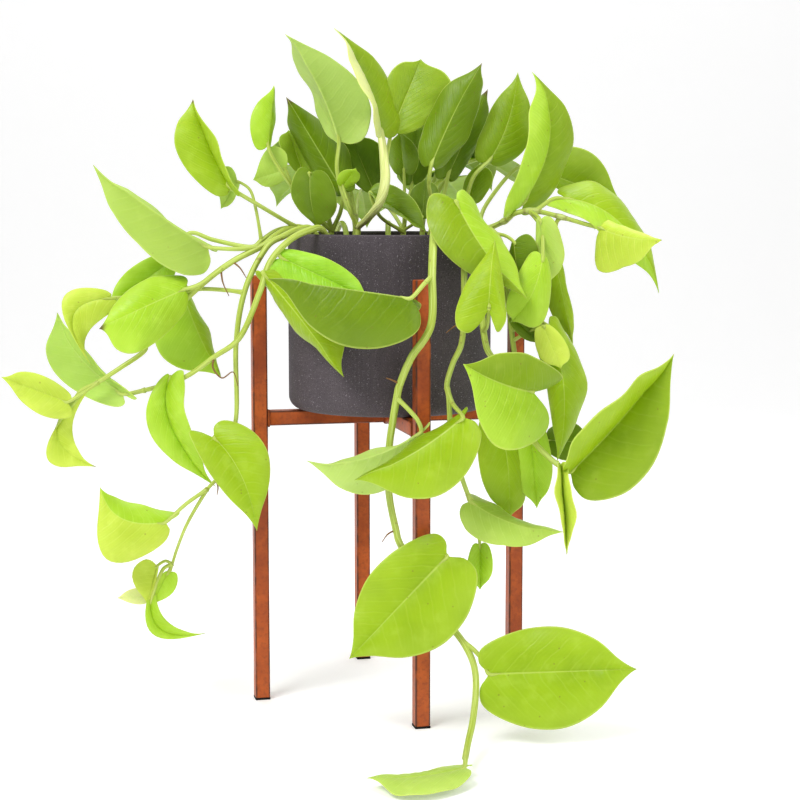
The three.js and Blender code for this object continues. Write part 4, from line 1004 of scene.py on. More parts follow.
@dataclass
class Plant:
    """All the leafy stems.

    Attributes:
        soil_top: the height of the soil, in millimetres.
        pot_top: the height of the pot's rim.
        root_depth: how deep the stems stand in the soil.
        stalk_radius: the stalks' radius at the stem and at the blade.
        stalk_sink: how far along the midrib a stalk ends inside its blade.
        collar: how far above the soil a stem stays upright.
        steps: how many steps a span of a stem and of a stalk is cut into.
        ends: how many of a stem's first and last points no stalk starts from.
        shortest: how close two points of a stalk's way may lie.
        arch: how far back and up a stalk bows, as shares of its span.
        node: how much thicker a stem is at a node, and how far that reaches.
        scar: how far from the node the brown ring lies, and how wide it is.
        margin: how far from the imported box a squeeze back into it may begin.
        clearance: how far inside the box it ends.
        blade: the form of the blades.
    """

    soil_top: float
    pot_top: float
    root_depth: float = 23.4
    stalk_radius: tuple[float, float] = (2.3, 1.9)
    stalk_sink: float = 0.08
    collar: float = 5.0
    steps: tuple[int, int] = (20, 10)
    ends: tuple[int, int] = (2, 7)
    shortest: float = 1.5
    arch: tuple[float, float] = (0.15, 0.12)
    node: tuple[float, float] = (0.38, 4.5)
    scar: tuple[float, float] = (5.0, 1.2)
    margin: float = 20.0
    clearance: float = 0.02
    blade: BladeForm = field(default_factory=BladeForm)

    def stem_path(self, points: list[Array]) -> Array:
        """The stem's way: upright in its hole, then bending above the soil."""
        root = np.array([points[0][0], points[0][1], self.soil_top - self.root_depth])
        collar = np.array([points[0][0], points[0][1], self.soil_top + self.collar])
        above = smooth_path(np.vstack([collar, *points[1:]]), self.steps[0])
        return np.vstack([root, (root + collar) / 2, above])

    def stalk_path(self, placed: Placed, stem: Array) -> Array:
        """The stalk's way from the stem's nearest point to a little inside the blade."""
        sunk = placed.midrib(np.array(self.stalk_sink))
        on_stem = stem[self.ends[0]:-self.ends[1]]
        given = placed.stalk
        aim = given[0] if given else placed.base
        start = on_stem[np.argmin(np.linalg.norm(on_stem - aim, axis=1))]
        if given is not None:
            points = [start, *given[1:], placed.base, sunk]
        else:
            span = float(np.linalg.norm(placed.base - start))
            away = unit(placed.midrib(np.array(0.01)) - placed.base)
            bow = (start + placed.base) / 2 - away * self.arch[0] * span
            points = [start, bow + np.array([0.0, 0.0, self.arch[1] * span]), placed.base, sunk]
        kept = [points[0]]
        for point in points[1:]:
            if np.linalg.norm(point - kept[-1]) > self.shortest:
                kept.append(point)
        return smooth_path(np.array(kept), self.steps[1])

    def stem_patch(self, path: Array, radius: tuple[float, float], nodes: Array) -> Patch:
        """The stem: a tube that tapers, swells a little at each node and is browner there."""
        way = np.concatenate([[0.0], np.cumsum(np.linalg.norm(np.diff(path, axis=0), axis=1))])
        share = way / way[-1]
        reach = radius[0] + (radius[1] - radius[0]) * share
        near, ring = np.zeros(len(path)), np.zeros(len(path))
        if len(nodes):
            gap = np.linalg.norm(path[:, None, :] - nodes[None, :, :], axis=2).min(1)
            ring = np.exp(-(((gap - self.scar[0]) / self.scar[1]) ** 2))
            near = np.exp(-((gap / self.node[1]) ** 2))
        reach = reach * (1 + self.node[0] * near)
        reach[-1] *= 0.55
        near, ring = near[:, None] * 0.7, ring[:, None] * 0.6
        tone = np.array(linear(*Tone.STEM.value)) * (1 - near) + np.array(linear(*Tone.NODE.value)) * near
        tone = tone * (1 - ring) + np.array(linear(*Tone.SCAR.value)) * ring
        return tube_along(path, reach, 14, tone, LeafSlot.STALK.value, groove=0.06)

    def air_root(self, points: list[Point]) -> Patch:
        """A thin brown air root along the points where it is seen, running out to its end."""
        path = smooth_path(np.array([VIEW.seen(point) for point in points]), 6)
        tone = np.tile(linear(*Tone.ROOT.value), (len(path), 1))
        return tube_along(path, np.linspace(1.1, 0.4, len(path)), 7, tone, LeafSlot.ROOT.value)

    def spray_patch(self, name: str, points: list[Array], radius: tuple[float, float],
                    leaves: list[Placed], seed: int) -> Patch:
        """A whole spray: its stem, its air roots, and each leaf's stalk and blade."""
        path = self.stem_path(points)
        stalks = [self.stalk_path(placed, path) for placed in leaves]
        nodes = np.array([stalk[0] for stalk in stalks])
        above = nodes[nodes[:, 2] > self.soil_top + 30.0] if len(nodes) else nodes
        patches = [self.stem_patch(path, radius, above)]
        patches += [self.air_root(root) for root in AIR_ROOTS.get(name, [])]
        for number, (placed, stalk) in enumerate(zip(leaves, stalks)):
            share = np.linspace(0, 1, len(stalk))
            size = min(1.0, 0.55 + placed.length / 200.0)
            reach = (self.stalk_radius[0] + (self.stalk_radius[1] - self.stalk_radius[0]) * share) * size
            reach = reach * (1 + 0.35 * np.exp(-((share / 0.06) ** 2)))
            reach = reach + placed.leaf.sheath * np.sin(np.pi * share)
            reach[-8:] *= np.linspace(1, 0.3, 8)
            skin = Tone.CREAM if placed.leaf.sheath else Tone.STEM
            tone = np.tile(linear(*skin.value), (len(stalk), 1))
            patches.append(tube_along(stalk, reach, 12, tone, LeafSlot.STALK.value, groove=0.2))
            patches.append(self.blade.patch(placed, seed + 1.7 * number))
        return Patch.joined(patches)

    def rear_tuft(self, tuft: RearTuft) -> tuple[list[Array], list[Placed]]:
        """The stem's points and the leaves of a rear tuft, each a step further round."""
        foot = np.array([*tuft.root, self.soil_top])
        top = foot + [0.0, 0.0, tuft.stem]
        leaves = []
        for number in range(tuft.leaves):
            share = number / (tuft.leaves - 1)
            angle = np.radians(tuft.turn[0] + (tuft.turn[1] - tuft.turn[0]) * share)
            away = np.array([np.sin(angle), np.cos(angle), 0.0])
            odd = number % 2
            length = tuft.length[odd]
            rise = tuft.height[0] + (tuft.height[1] - tuft.height[0]) * share - tuft.lower * odd
            base = top + away * tuft.reach[odd] + np.array([0.0, 0.0, rise])
            tip = base + away * length * (1 - tuft.drop / 2) - np.array([0.0, 0.0, length * tuft.drop])
            bow = top + (base - top) * np.array([tuft.bow[0], tuft.bow[0], tuft.bow[1]])
            tone = (Tone.MID, Tone.LIME, Tone.OLIVE, Tone.MID)[number % 4]
            leaves.append(rear_leaf(base, tip, tuft.cup[odd], [top, bow], tone))
        return [foot, top + (foot - top) * tuft.bend, top], leaves

    def rear_vine(self, vine: RearVine) -> tuple[list[Array], list[Placed]]:
        """The stem's points and the leaves of a rear vine, left and right by turns."""
        foot = np.array([*vine.root, self.soil_top])
        over = np.array([*vine.rim, self.pot_top + vine.crest])
        outside = np.array([*vine.out, self.pot_top - vine.hang])
        end = np.array([vine.out[0] * vine.end[0], vine.out[1] + vine.end[1], vine.foot])
        rise = foot + (over - foot) * vine.bend
        rise[2] = self.pot_top + vine.rise
        leaves = []
        for number in range(vine.leaves):
            share = (number + vine.first) / vine.leaves
            hand = 1 if number % 2 else -1
            length = vine.length[0] + (vine.length[1] - vine.length[0]) * share
            node = outside + (end - outside) * share
            turned = -vine.out[0] * vine.lean
            base = node + [hand * vine.side + turned, vine.outward, vine.lift]
            tip = base + length * np.array([hand * vine.slant[0], vine.slant[1], -vine.slant[2]])
            tip += [turned, 0.0, 0.0]
            tip[2] = max(tip[2], vine.lowest)
            tone = (Tone.LIME, Tone.MID, Tone.YELLOW)[number % 3]
            leaves.append(rear_leaf(base, tip, vine.cup, None, tone))
        return [foot, rise, over, outside, (outside + end) / 2, end], leaves

    def inside(self, points: Array, workshop: Workshop) -> Array:
        """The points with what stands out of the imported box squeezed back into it.

        On each axis the last stretch before the box is scaled so that the furthest point ends on
        the box, and nothing else moves.

        Args:
            points: a spray's points.
            workshop: where they will be placed.

        Returns:
            The moved points.
        """
        low, high = (np.array(corner) * 1000.0 - workshop.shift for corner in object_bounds())
        for axis, sign, bound in [(a, s, b[a]) for s, b in ((1, high), (-1, low)) for a in range(3)]:
            reach = sign * (points[:, axis] - bound) + self.margin
            over = reach.max() - self.margin
            if over > 0:
                share = (self.margin - self.clearance) / (self.margin + over)
                points[:, axis] -= sign * np.maximum(reach, 0) * (1 - share)
        return points

    def build(self, workshop: Workshop, finishes: list[bpy.types.Material]) -> None:
        """Builds every spray and puts it in the place of its node."""
        made = [(spray.name, [VIEW.seen(point) for point in spray.stem], spray.radius,
                 [seen_leaf(leaf) for leaf in spray.leaves]) for spray in SPRAYS]
        for tuft in REAR_TUFTS:
            points, leaves = self.rear_tuft(tuft)
            made.append((tuft.name, points, tuft.radius, leaves))
        for vine in REAR_VINES:
            points, leaves = self.rear_vine(vine)
            made.append((vine.name, points, vine.radius, leaves))
        for seed, (name, points, radius, leaves) in enumerate(made):
            patch = self.spray_patch(name, points, radius, leaves, seed)
            patch.points = self.inside(patch.points, workshop)
            piece = workshop.piece(name.replace("spray_", "leafy_"), patch, finishes)
            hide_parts(name)
            log.info("%s: %d leaves, %d triangles", name, len(leaves), len(patch.triangles))


class Socket(Enum):
    """The sockets of the main shader that the finishes set."""

    COLOUR = "Base Color"
    ROUGHNESS = "Roughness"
    NORMAL = "Normal"
    SHINE = "Specular IOR Level"
    GLOW = "Subsurface Weight"
    GLOW_REACH = "Subsurface Radius"
    GLOW_SCALE = "Subsurface Scale"


class Wiring:
    """Joins the nodes of one material."""

    def __init__(self, name: str) -> None:
        """Starts a material with nothing but its main shader.

        Args:
            name: the material's name.
        """
        self.material = bpy.data.materials.new(name)
        self.material.use_nodes = True
        self.nodes = self.material.node_tree.nodes
        self.links = self.material.node_tree.links
        self.shader = self.nodes["Principled BSDF"]

    def node(self, kind: str, inputs: dict | None = None, **settings: object) -> bpy.types.Node:
        """Adds a node.

        Args:
            kind: the node's type.
            inputs: values or output sockets, by input name or number.
            settings: the node's own settings.

        Returns:
            The node.
        """
        node = self.nodes.new(kind)
        for name, value in settings.items():
            setattr(node, name, value)
        for name, value in (inputs or {}).items():
            if isinstance(value, NodeSocket):
                self.links.new(value, node.inputs[name])
            else:
                node.inputs[name].default_value = value
        return node

    def set(self, socket: Socket, value: object) -> None:
        """Sets or joins an input of the main shader."""
        if isinstance(value, NodeSocket):
            self.links.new(value, self.shader.inputs[socket.value])
        else:
            self.shader.inputs[socket.value].default_value = value

    def math(self, operation: str, *values: object) -> NodeSocket:
        """The result of a sum of one, two or three values."""
        node = self.node("ShaderNodeMath", dict(enumerate(values)), operation=operation)
        return node.outputs[0]

    def ramp(self, value: NodeSocket, low: float, high: float,
             to_low: float = 0.0, to_high: float = 1.0) -> NodeSocket:
        """A value carried smoothly from one range to another."""
        node = self.node("ShaderNodeMapRange", {
            "Value": value, "From Min": low, "From Max": high, "To Min": to_low, "To Max": to_high,
        }, interpolation_type="SMOOTHSTEP")
        return node.outputs["Result"]

    def times(self, first: object, second: object) -> NodeSocket:
        """The product of two values."""
        return self.math("MULTIPLY", first, second)

    def mix(self, share: object, first: object, second: object) -> NodeSocket:
        """Two colours mixed by a share."""
        node = self.node("ShaderNodeMix", {0: share, 6: first, 7: second}, data_type="RGBA")
        return node.outputs[2]

    def shifted(self, colour: object, hue: float, saturation: float,
                value: float) -> NodeSocket:
        """A colour with its hue, saturation and value changed."""
        node = self.node("ShaderNodeHueSaturation", {
            "Color": colour, "Hue": hue, "Saturation": saturation, "Value": value})
        return node.outputs[0]

    def noise(self, scale: float, detail: float = 3.0, rough: float = 0.5) -> NodeSocket:
        """Noise over the piece's own place, of so many waves to the metre."""
        place = self.node("ShaderNodeTexCoord").outputs["Object"]
        node = self.node("ShaderNodeTexNoise", {
            "Vector": place, "Scale": scale, "Detail": detail, "Roughness": rough})
        return node.outputs["Fac"]

    def cells(self, scale: float) -> tuple[NodeSocket, NodeSocket]:
        """The distance to the nearest of scattered points, and that point's own random colour."""
        place = self.node("ShaderNodeTexCoord").outputs["Object"]
        node = self.node("ShaderNodeTexVoronoi", {"Vector": place, "Scale": scale})
        return node.outputs["Distance"], node.outputs["Color"]

    def attribute(self, name: str) -> bpy.types.Node:
        """Reads one of the mesh's own attributes."""
        return self.node("ShaderNodeAttribute", attribute_name=name)

    def own_map(self) -> tuple[NodeSocket, NodeSocket]:
        """The two numbers of the mesh's own map."""
        place = self.node("ShaderNodeUVMap", uv_map="leaf_map").outputs["UV"]
        split = self.node("ShaderNodeSeparateXYZ", {0: place})
        return split.outputs[0], split.outputs[1]

    def channel(self, colour: object, number: int) -> NodeSocket:
        """One of a colour's three channels."""
        return self.node("ShaderNodeSeparateColor", {0: colour}).outputs[number]

    def glow(self, weight: float, reach: tuple[float, float, float], scale: float) -> None:
        """Lets light through the skin by a weight, as far as reach times scale in metres."""
        self.set(Socket.GLOW, weight)
        self.set(Socket.GLOW_REACH, reach)
        self.set(Socket.GLOW_SCALE, scale)

    def bump(self, height: NodeSocket, reach: float,
             below: object = None) -> NodeSocket:
        """A bump of that height in metres, over any bump below it."""
        inputs = {"Height": height, "Distance": reach, "Strength": 1.0}
        if below is not None:
            inputs["Normal"] = below
        return self.node("ShaderNodeBump", inputs).outputs["Normal"]


@dataclass(frozen=True)
class LeafFinish:
    """The waxy skin of a blade: its own green, pale veins, a thin pale rim, faint mottling.

    Attributes:
        name: the material's name.
        under: whether it is the paler, duller underside.
        veins: how many side veins stand on each half.
        sweep: how far forward they sweep.
        rib: the midrib's own colour.
        rim: the colour of the thin line along the edge.
        fleck: the colour of the few dry flecks.
        dull: what the underside is paled with.
    """

    name: str
    under: bool
    veins: int = 9
    sweep: float = 0.3
    rib: tuple[int, int, int] = (204, 222, 112)
    rim: tuple[int, int, int] = (206, 220, 112)
    fleck: tuple[int, int, int] = (120, 96, 40)
    dull: tuple[int, int, int] = (168, 196, 84)

    def material(self) -> bpy.types.Material:
        """Wires the finish and returns it."""
        wire = Wiring(self.name)
        tone = wire.attribute("tone").outputs["Color"]
        rim = wire.attribute("rim").outputs["Fac"]
        place, side = wire.own_map()
        reach = wire.times(wire.math("ABSOLUTE", wire.math("SUBTRACT", side, 0.5)), 2.0)
        swept = wire.times(wire.math("POWER", reach, 1.25), self.sweep)
        wander = wire.times(wire.math("SUBTRACT", wire.noise(55.0, 2.0), 0.5), 0.05)
        turn = wire.times(wire.math("ADD", wire.math("SUBTRACT", place, swept), wander),
                         float(self.veins))
        main = wire.math("PINGPONG", turn, 0.5)
        lesser = wire.math("PINGPONG", wire.times(turn, 3.0), 0.5)
        side_vein = wire.ramp(main, 0.0, 0.10, 1.0, 0.0)
        fine_vein = wire.ramp(lesser, 0.0, 0.3, 1.0, 0.0)
        inside = wire.ramp(rim, 0.55, 0.98, 1.0, 0.0)
        side_vein = wire.times(side_vein, inside)
        rib_width = wire.times(wire.math("SUBTRACT", 1.12, place), 0.022)
        rib = wire.ramp(wire.math("SUBTRACT", reach, rib_width), -0.012, 0.012, 1.0, 0.0)
        fresh = wire.shifted(tone, 0.49, 0.92, 1.25)
        deep = wire.shifted(tone, 0.505, 1.06, 0.80)
        colour = wire.mix(wire.ramp(wire.noise(26.0, 3.0), 0.35, 0.7, 0.0, 0.6), tone, deep)
        colour = wire.mix(wire.ramp(wire.noise(75.0, 4.0), 0.5, 0.76, 0.0, 0.34), colour, fresh)
        colour = wire.mix(wire.ramp(rim, 0.2, 0.95, 0.0, 0.28), colour, fresh)
        colour = wire.mix(wire.times(fine_vein, 0.05), colour, fresh)
        colour = wire.mix(wire.times(side_vein, 0.22), colour, fresh)
        colour = wire.mix(wire.times(rib, 0.42), colour, linear(*self.rib))
        colour = wire.mix(wire.ramp(rim, 0.955, 0.99, 0.0, 0.5), colour, linear(*self.rim))
        distance, own = wire.cells(210.0)
        chosen = wire.ramp(wire.channel(own, 0), 0.955, 0.965)
        flecks = wire.times(wire.ramp(distance, 0.12, 0.25, 0.45, 0.0), chosen)
        colour = wire.mix(flecks, colour, linear(*self.fleck))
        if self.under:
            colour = wire.mix(0.4, wire.shifted(colour, 0.5, 0.86, 1.02), linear(*self.dull))
        wire.set(Socket.COLOUR, colour)
        rough = (0.46, 0.60) if self.under else (0.34, 0.48)
        wire.set(Socket.ROUGHNESS, wire.ramp(wire.noise(120.0, 3.0), 0.3, 0.7, *rough))
        wire.set(Socket.SHINE, 0.16 if self.under else 0.24)
        wire.glow(0.3, (0.7, 1.0, 0.2), 0.002)
        relief = wire.math("ADD", wire.times(side_vein, 0.5 if self.under else -0.25),
                           wire.times(fine_vein, -0.15))
        soft = wire.bump(relief, 0.0004)
        wire.set(Socket.NORMAL, wire.bump(wire.noise(420.0, 2.0), 0.00012, soft))
        return wire.material


@dataclass(frozen=True)
class StalkFinish:
    """The pale green skin of stems and stalks, streaked along them, with small brown scars."""

    name: str
    scars: float = 0.5
    streaks: tuple[float, float] = (18.0, 9.0)
    light: tuple[int, int, int] = (206, 220, 140)
    scar: tuple[int, int, int] = (128, 92, 48)

    def material(self) -> bpy.types.Material:
        """Wires the finish and returns it."""
        wire = Wiring(self.name)
        tone = wire.attribute("tone").outputs["Color"]
        along, round_it = wire.own_map()
        streak = wire.node("ShaderNodeCombineXYZ", {
            0: wire.times(along, self.streaks[0]), 1: wire.times(round_it, self.streaks[1])}).outputs[0]
        lines = wire.node("ShaderNodeTexNoise", {
            "Vector": streak, "Scale": 1.0, "Detail": 2.0}).outputs["Fac"]
        deep = wire.shifted(tone, 0.5, 1.15, 0.72)
        colour = wire.mix(wire.ramp(lines, 0.46, 0.58, 0.0, 0.7), tone, deep)
        colour = wire.mix(wire.ramp(lines, 0.32, 0.42, 0.45, 0.0), colour, linear(*self.light))
        scarred = wire.ramp(wire.noise(160.0, 4.0), 0.66, 0.72, 0.0, self.scars)
        colour = wire.mix(scarred, colour, linear(*self.scar))
        wire.set(Socket.COLOUR, colour)
        wire.set(Socket.ROUGHNESS, wire.ramp(lines, 0.3, 0.7, 0.38, 0.55))
        wire.glow(0.2, (0.8, 1.0, 0.3), 0.002)
        wire.set(Socket.NORMAL, wire.bump(lines, 0.0006))
        return wire.material


@dataclass(frozen=True)
class SteelFinish:
    """Rust-brown paint on steel: cloudy, darker along the edges from paint wear and painted shade of the
    rounded corners, finely pitted.
    """

    name: str
    dark: tuple[int, int, int] = (152, 66, 22)
    light: tuple[int, int, int] = (196, 94, 34)
    pits: tuple[int, int, int] = (112, 52, 26)
    edge_wear_and_shade: tuple[int, int, int] = (58, 34, 24)
    chips: tuple[int, int, int] = (48, 30, 24)

    def material(self) -> bpy.types.Material:
        """Wires the finish and returns it."""
        wire = Wiring(self.name)
        cloud = wire.noise(22.0, 5.0, 0.6)
        grain = wire.noise(300.0, 3.0)
        colour = wire.mix(wire.ramp(cloud, 0.32, 0.68), linear(*self.dark), linear(*self.light))
        colour = wire.mix(wire.ramp(grain, 0.45, 0.7, 0.0, 0.35), colour, linear(*self.pits))
        rim = wire.attribute("rim").outputs["Fac"]
        # paint wear and painted shade: the rounded corners darkened, unevenly by noise
        edge_wear_and_shade = wire.times(rim, wire.ramp(wire.noise(60.0, 4.0), 0.34, 0.56, 0.35, 1.0))
        colour = wire.mix(wire.times(edge_wear_and_shade, 0.85), colour, linear(*self.edge_wear_and_shade))
        distance, own = wire.cells(90.0)
        chosen = wire.ramp(wire.channel(own, 0), 0.86, 0.88)
        chip = wire.times(wire.ramp(distance, 0.08, 0.16, 0.8, 0.0), chosen)
        colour = wire.mix(chip, colour, linear(*self.chips))
        wire.set(Socket.COLOUR, colour)
        wire.set(Socket.SHINE, 0.3)
        wire.set(Socket.ROUGHNESS, wire.ramp(cloud, 0.3, 0.7, 0.34, 0.52))
        wire.set(Socket.NORMAL, wire.bump(grain, 0.0002))
        return wire.material


@dataclass(frozen=True)
class PotFinish:
    """Matte charcoal stoneware with fine pale and dark speckles.

    Attributes:
        name: the material's name.
        dark: its darker colour.
        light: its lighter colour.
        specks: how fine each kind of speck is, how rare from 0 to 1, its colour and its strength.
    """

    name: str
    dark: tuple[int, int, int] = (66, 59, 64)
    light: tuple[int, int, int] = (80, 72, 77)
    specks: tuple[tuple[float, float, tuple[int, int, int], float], ...] = (
        (900.0, 0.50, (122, 114, 120), 0.65),
        (600.0, 0.92, (160, 152, 158), 0.6),
        (700.0, 0.60, (40, 36, 39), 0.8),
    )

    def material(self) -> bpy.types.Material:
        """Wires the finish and returns it."""
        wire = Wiring(self.name)
        cloud = wire.noise(16.0, 4.0)
        colour = wire.mix(wire.ramp(cloud, 0.3, 0.7), linear(*self.dark), linear(*self.light))
        for scale, rare, tint, strength in self.specks:
            distance, own = wire.cells(scale)
            chosen = wire.ramp(wire.channel(own, 1), rare, rare + 0.02)
            dot = wire.times(wire.ramp(distance, 0.18, 0.40, strength, 0.0), chosen)
            colour = wire.mix(dot, colour, linear(*tint))
        wire.set(Socket.COLOUR, colour)
        grain = wire.noise(900.0, 3.0)
        wire.set(Socket.ROUGHNESS, wire.ramp(grain, 0.3, 0.7, 0.72, 0.86))
        wire.set(Socket.SHINE, 0.35)
        wire.set(Socket.NORMAL, wire.bump(grain, 0.00015))
        return wire.material


@dataclass(frozen=True)
class GroundFinish:
    """Dull rough stuff with two colours and a grain: soil, crumbs, rubber."""

    name: str
    dark: tuple[int, int, int]
    light: tuple[int, int, int]
    scale: float
    relief: float
    tinted: bool = False

    def material(self) -> bpy.types.Material:
        """Wires the finish and returns it."""
        wire = Wiring(self.name)
        grain = wire.noise(self.scale, 6.0, 0.65)
        colour = wire.mix(wire.ramp(grain, 0.35, 0.65), linear(*self.dark), linear(*self.light))
        if self.tinted:
            colour = wire.mix(0.75, colour, wire.attribute("tone").outputs["Color"])
        wire.set(Socket.COLOUR, colour)
        wire.set(Socket.ROUGHNESS, wire.ramp(grain, 0.3, 0.7, 0.8, 0.98))
        wire.set(Socket.SHINE, 0.2)
        wire.set(Socket.NORMAL, wire.bump(grain, self.relief))
        return wire.material


@dataclass
class Stand:
    """The stand of square tube: legs, bars, welds and feet.

    Attributes:
        centre: the pot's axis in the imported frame, in millimetres.
        wall: the tube's wall.
        corner: the tube's corner radius.
        edge: how far a leg's lower edge is broken.
        chamfer: how far a tube's cut ends are broken.
        brim: how wide the rounding of a leg's top is.
        gap: the gap between bars and legs.
        bead: how far from a tube's end its weld lies.
        lumps: a weld's thickness, how much that changes, and the turns of the two waves of it.
        paint: the colour of the tubes.
        melt: the colour of the welds.
    """

    centre: Array
    wall: float = 1.5
    corner: float = 1.6
    edge: float = 0.4
    chamfer: float = 0.3
    brim: float = 1.0
    gap: float = 0.3
    bead: float = 0.6
    lumps: tuple[float, float, float, float] = (1.15, 0.25, 1.9, 0.7)
    paint: tuple[int, int, int] = (160, 82, 40)
    melt: tuple[int, int, int] = (120, 60, 32)

    def section(self, half: float) -> tuple[Array, Array]:
        """The tube's outline of half side one, and how close each point lies to a corner."""
        outline = rounded_square(self.corner / half, 0.5 / half)
        near = np.tile([0.0, 0.55, 1.0, 1.0, 1.0, 0.55, 0.0], 4)
        return outline, near

    def turned(self, patch: Patch, angle: float, place: Array) -> Patch:
        """The patch turned about Z and put in its place."""
        c, s = np.cos(angle), np.sin(angle)
        patch.points = patch.points @ np.array([[c, s, 0], [-s, c, 0], [0, 0, 1]]) + place
        return patch

    def edged(self, patch: Patch, near: Array, columns: int) -> Patch:
        """The patch with its corners marked, so that the paint is darkened there by wear and painted
        shade.
        """
        patch.rim = near[np.round(patch.uv[:, 0] * columns).astype(int) % columns]
        return patch

    def leg(self, low: float, high: float, half: float) -> Patch:
        """A leg: a tube open at its foot, with a plate welded over its top."""
        outline, near = self.section(half)
        inner = half - self.wall
        rings = np.linspace(low + self.edge, high - self.brim, 9)
        profile = np.array([
            [0, high - self.wall], [inner, high - self.wall], [inner, low], [half - self.edge, low],
            *[[half, ring] for ring in rings], [half - self.chamfer, high - self.chamfer],
            [half - self.brim, high], [0, high],
        ])
        tone = np.array(linear(*self.paint))
        return self.edged(revolved(outline, profile, False, tone), near, len(outline))

    def bar(self, start: float, end: float, half: float) -> Patch:
        """A bar: a tube open at both ends, lying along X."""
        outline, near = self.section(half)
        inner = half - self.wall
        rings = np.linspace(start + self.chamfer, end - self.chamfer, 9)[::-1]
        profile = np.array([
            [inner, start], [inner, end], [half - self.chamfer, end], *[[half, ring] for ring in rings],
            [half - self.chamfer, start],
        ])[::-1]
        patch = revolved(outline, profile, True, np.array(linear(*self.paint)))
        patch = self.edged(patch, near, len(outline))
        patch.points = patch.points[:, [2, 1, 0]] * np.array([1.0, 1.0, -1.0])
        return patch

    def weld(self, half: float, at: float, seed: int) -> Patch:
        """A bead round a bar's end: a thin tube round the square, lumpy as sines of the way."""
        outline, _ = self.section(half)
        loop = np.vstack([outline, outline[:2]]) * (half + 0.2)
        path = np.column_stack([np.full(len(loop), at), loop])
        path = smooth_path(path, 4)
        thick, lumpy, quick, slow = self.lumps
        step = np.arange(len(path))
        lumps = thick + lumpy * np.sin(step * quick + seed) * np.sin(step * slow)
        tone = np.tile(linear(*self.melt), (len(path), 1))
        patch = tube_along(path, lumps, 8, tone, 0)
        # the whole bead takes half the corners' darkening: paint wear and painted shade
        patch.rim = np.full(len(patch.points), 0.5)
        return patch

    def build(self, workshop: Workshop, paint: bpy.types.Material, rubber: bpy.types.Material) -> None:
        """Builds legs, bars and welds, and paints the feet."""
        bars = np.array(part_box("crossbar_main")) * 1000.0
        half = (bars[1, 2] - bars[0, 2]) / 2
        height = (bars[1, 2] + bars[0, 2]) / 2
        welds = []
        for number, side in enumerate(("right", "back", "left", "front")):
            leg = np.array(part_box(f"leg_{side}")) * 1000.0
            middle = leg.mean(0) - self.centre
            angle = float(np.arctan2(middle[1], middle[0]))
            reach = float(np.hypot(middle[0], middle[1]))
            patch = self.turned(self.leg(leg[0, 2], leg[1, 2], half), angle, middle * [1, 1, 0])
            piece = workshop.piece(f"tube_leg_{side}", patch, [paint])
            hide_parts(f"leg_{side}")
            self.dress(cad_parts[f"foot_{side}"], rubber)
            end = reach - half - self.gap
            bead = self.weld(half, end - self.bead, number)
            bead.points[:, 2] += height
            welds.append(self.turned(bead, angle, np.zeros(3)))
            if side in ("front", "back"):
                patch = self.bar(half + self.gap, end, half)
                patch.points[:, 2] += height
                patch = self.turned(patch, angle, np.zeros(3))
                piece = workshop.piece(f"tube_bar_{side}", patch, [paint])
                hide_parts(f"crossbar_{side}")
                inner = self.weld(half, half + self.gap + self.bead, number + 7)
                inner.points[:, 2] += height
                welds.append(self.turned(inner, angle, np.zeros(3)))
            if side == "right":
                patch = self.bar(-end, end, half)
                patch.points[:, 2] += height
                piece = workshop.piece("tube_bar_main", self.turned(patch, angle, np.zeros(3)), [paint])
                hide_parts("crossbar_main")
        piece = workshop.piece("welds", Patch.joined(welds), [paint])
        log.info("stand built")

    @staticmethod
    def dress(node: bpy.types.Object, finish: bpy.types.Material) -> None:
        """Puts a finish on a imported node."""
        if node.material_slots:
            for place in node.material_slots:
                place.material = finish
        else:
            node.data.materials.append(finish)


@dataclass
class Pot:
    """The pot: a turned shell with a rounded foot and lip.

    Attributes:
        radius: its outside radius, in millimetres.
        low: the height of its foot.
        high: the height of its lip.
        wall: its wall.
        floor: its floor's thickness.
        foot_round: the radius of its foot's edge.
        lip_round: the radius of its lip.
        rings: the heights of the rings on its side, as shares of its own height.
        tone: its colour.
        sides: how many sides its circle has.
    """

    radius: float
    low: float
    high: float
    wall: float = 5.0
    floor: float = 7.0
    foot_round: float = 13.0
    lip_round: float = 2.4
    rings: tuple[float, ...] = (0.3, 0.6, 0.95)
    tone: tuple[int, int, int] = (80, 73, 77)
    sides: int = 160

    def profile(self) -> Array:
        """The outline of the shell from the axis under the foot, over the lip, to the axis inside."""
        quarter = np.linspace(0, np.pi / 2, 9)
        foot = np.stack([self.radius - self.foot_round * (1 - np.sin(quarter)),
                         self.low + self.foot_round * (1 - np.cos(quarter))], -1)
        lip = np.stack([self.radius - self.lip_round * (1 - np.cos(quarter)),
                        self.high - self.lip_round * (1 - np.sin(quarter))], -1)
        inside = self.radius - self.wall
        turned_in = np.stack([inside + self.lip_round * (1 - np.sin(quarter)),
                              self.high - self.lip_round * (1 - np.cos(quarter))], -1)
        side = [[self.radius, self.low + ring * (self.high - self.low)] for ring in self.rings]
        hollow = [[inside, self.low + self.floor + self.foot_round],
                  [inside - self.foot_round, self.low + self.floor], [0, self.low + self.floor]]
        return np.vstack([[[0, self.low]], foot, side, lip, turned_in, hollow])

    def build(self, workshop: Workshop, finish: bpy.types.Material) -> None:
        """Builds the shell in the place of its node."""
        patch = revolved(circle(self.sides), self.profile(), False, np.array(linear(*self.tone)))
        piece = workshop.piece("pot_shell", patch, [finish])
        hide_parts("pot")
        log.info("pot built")


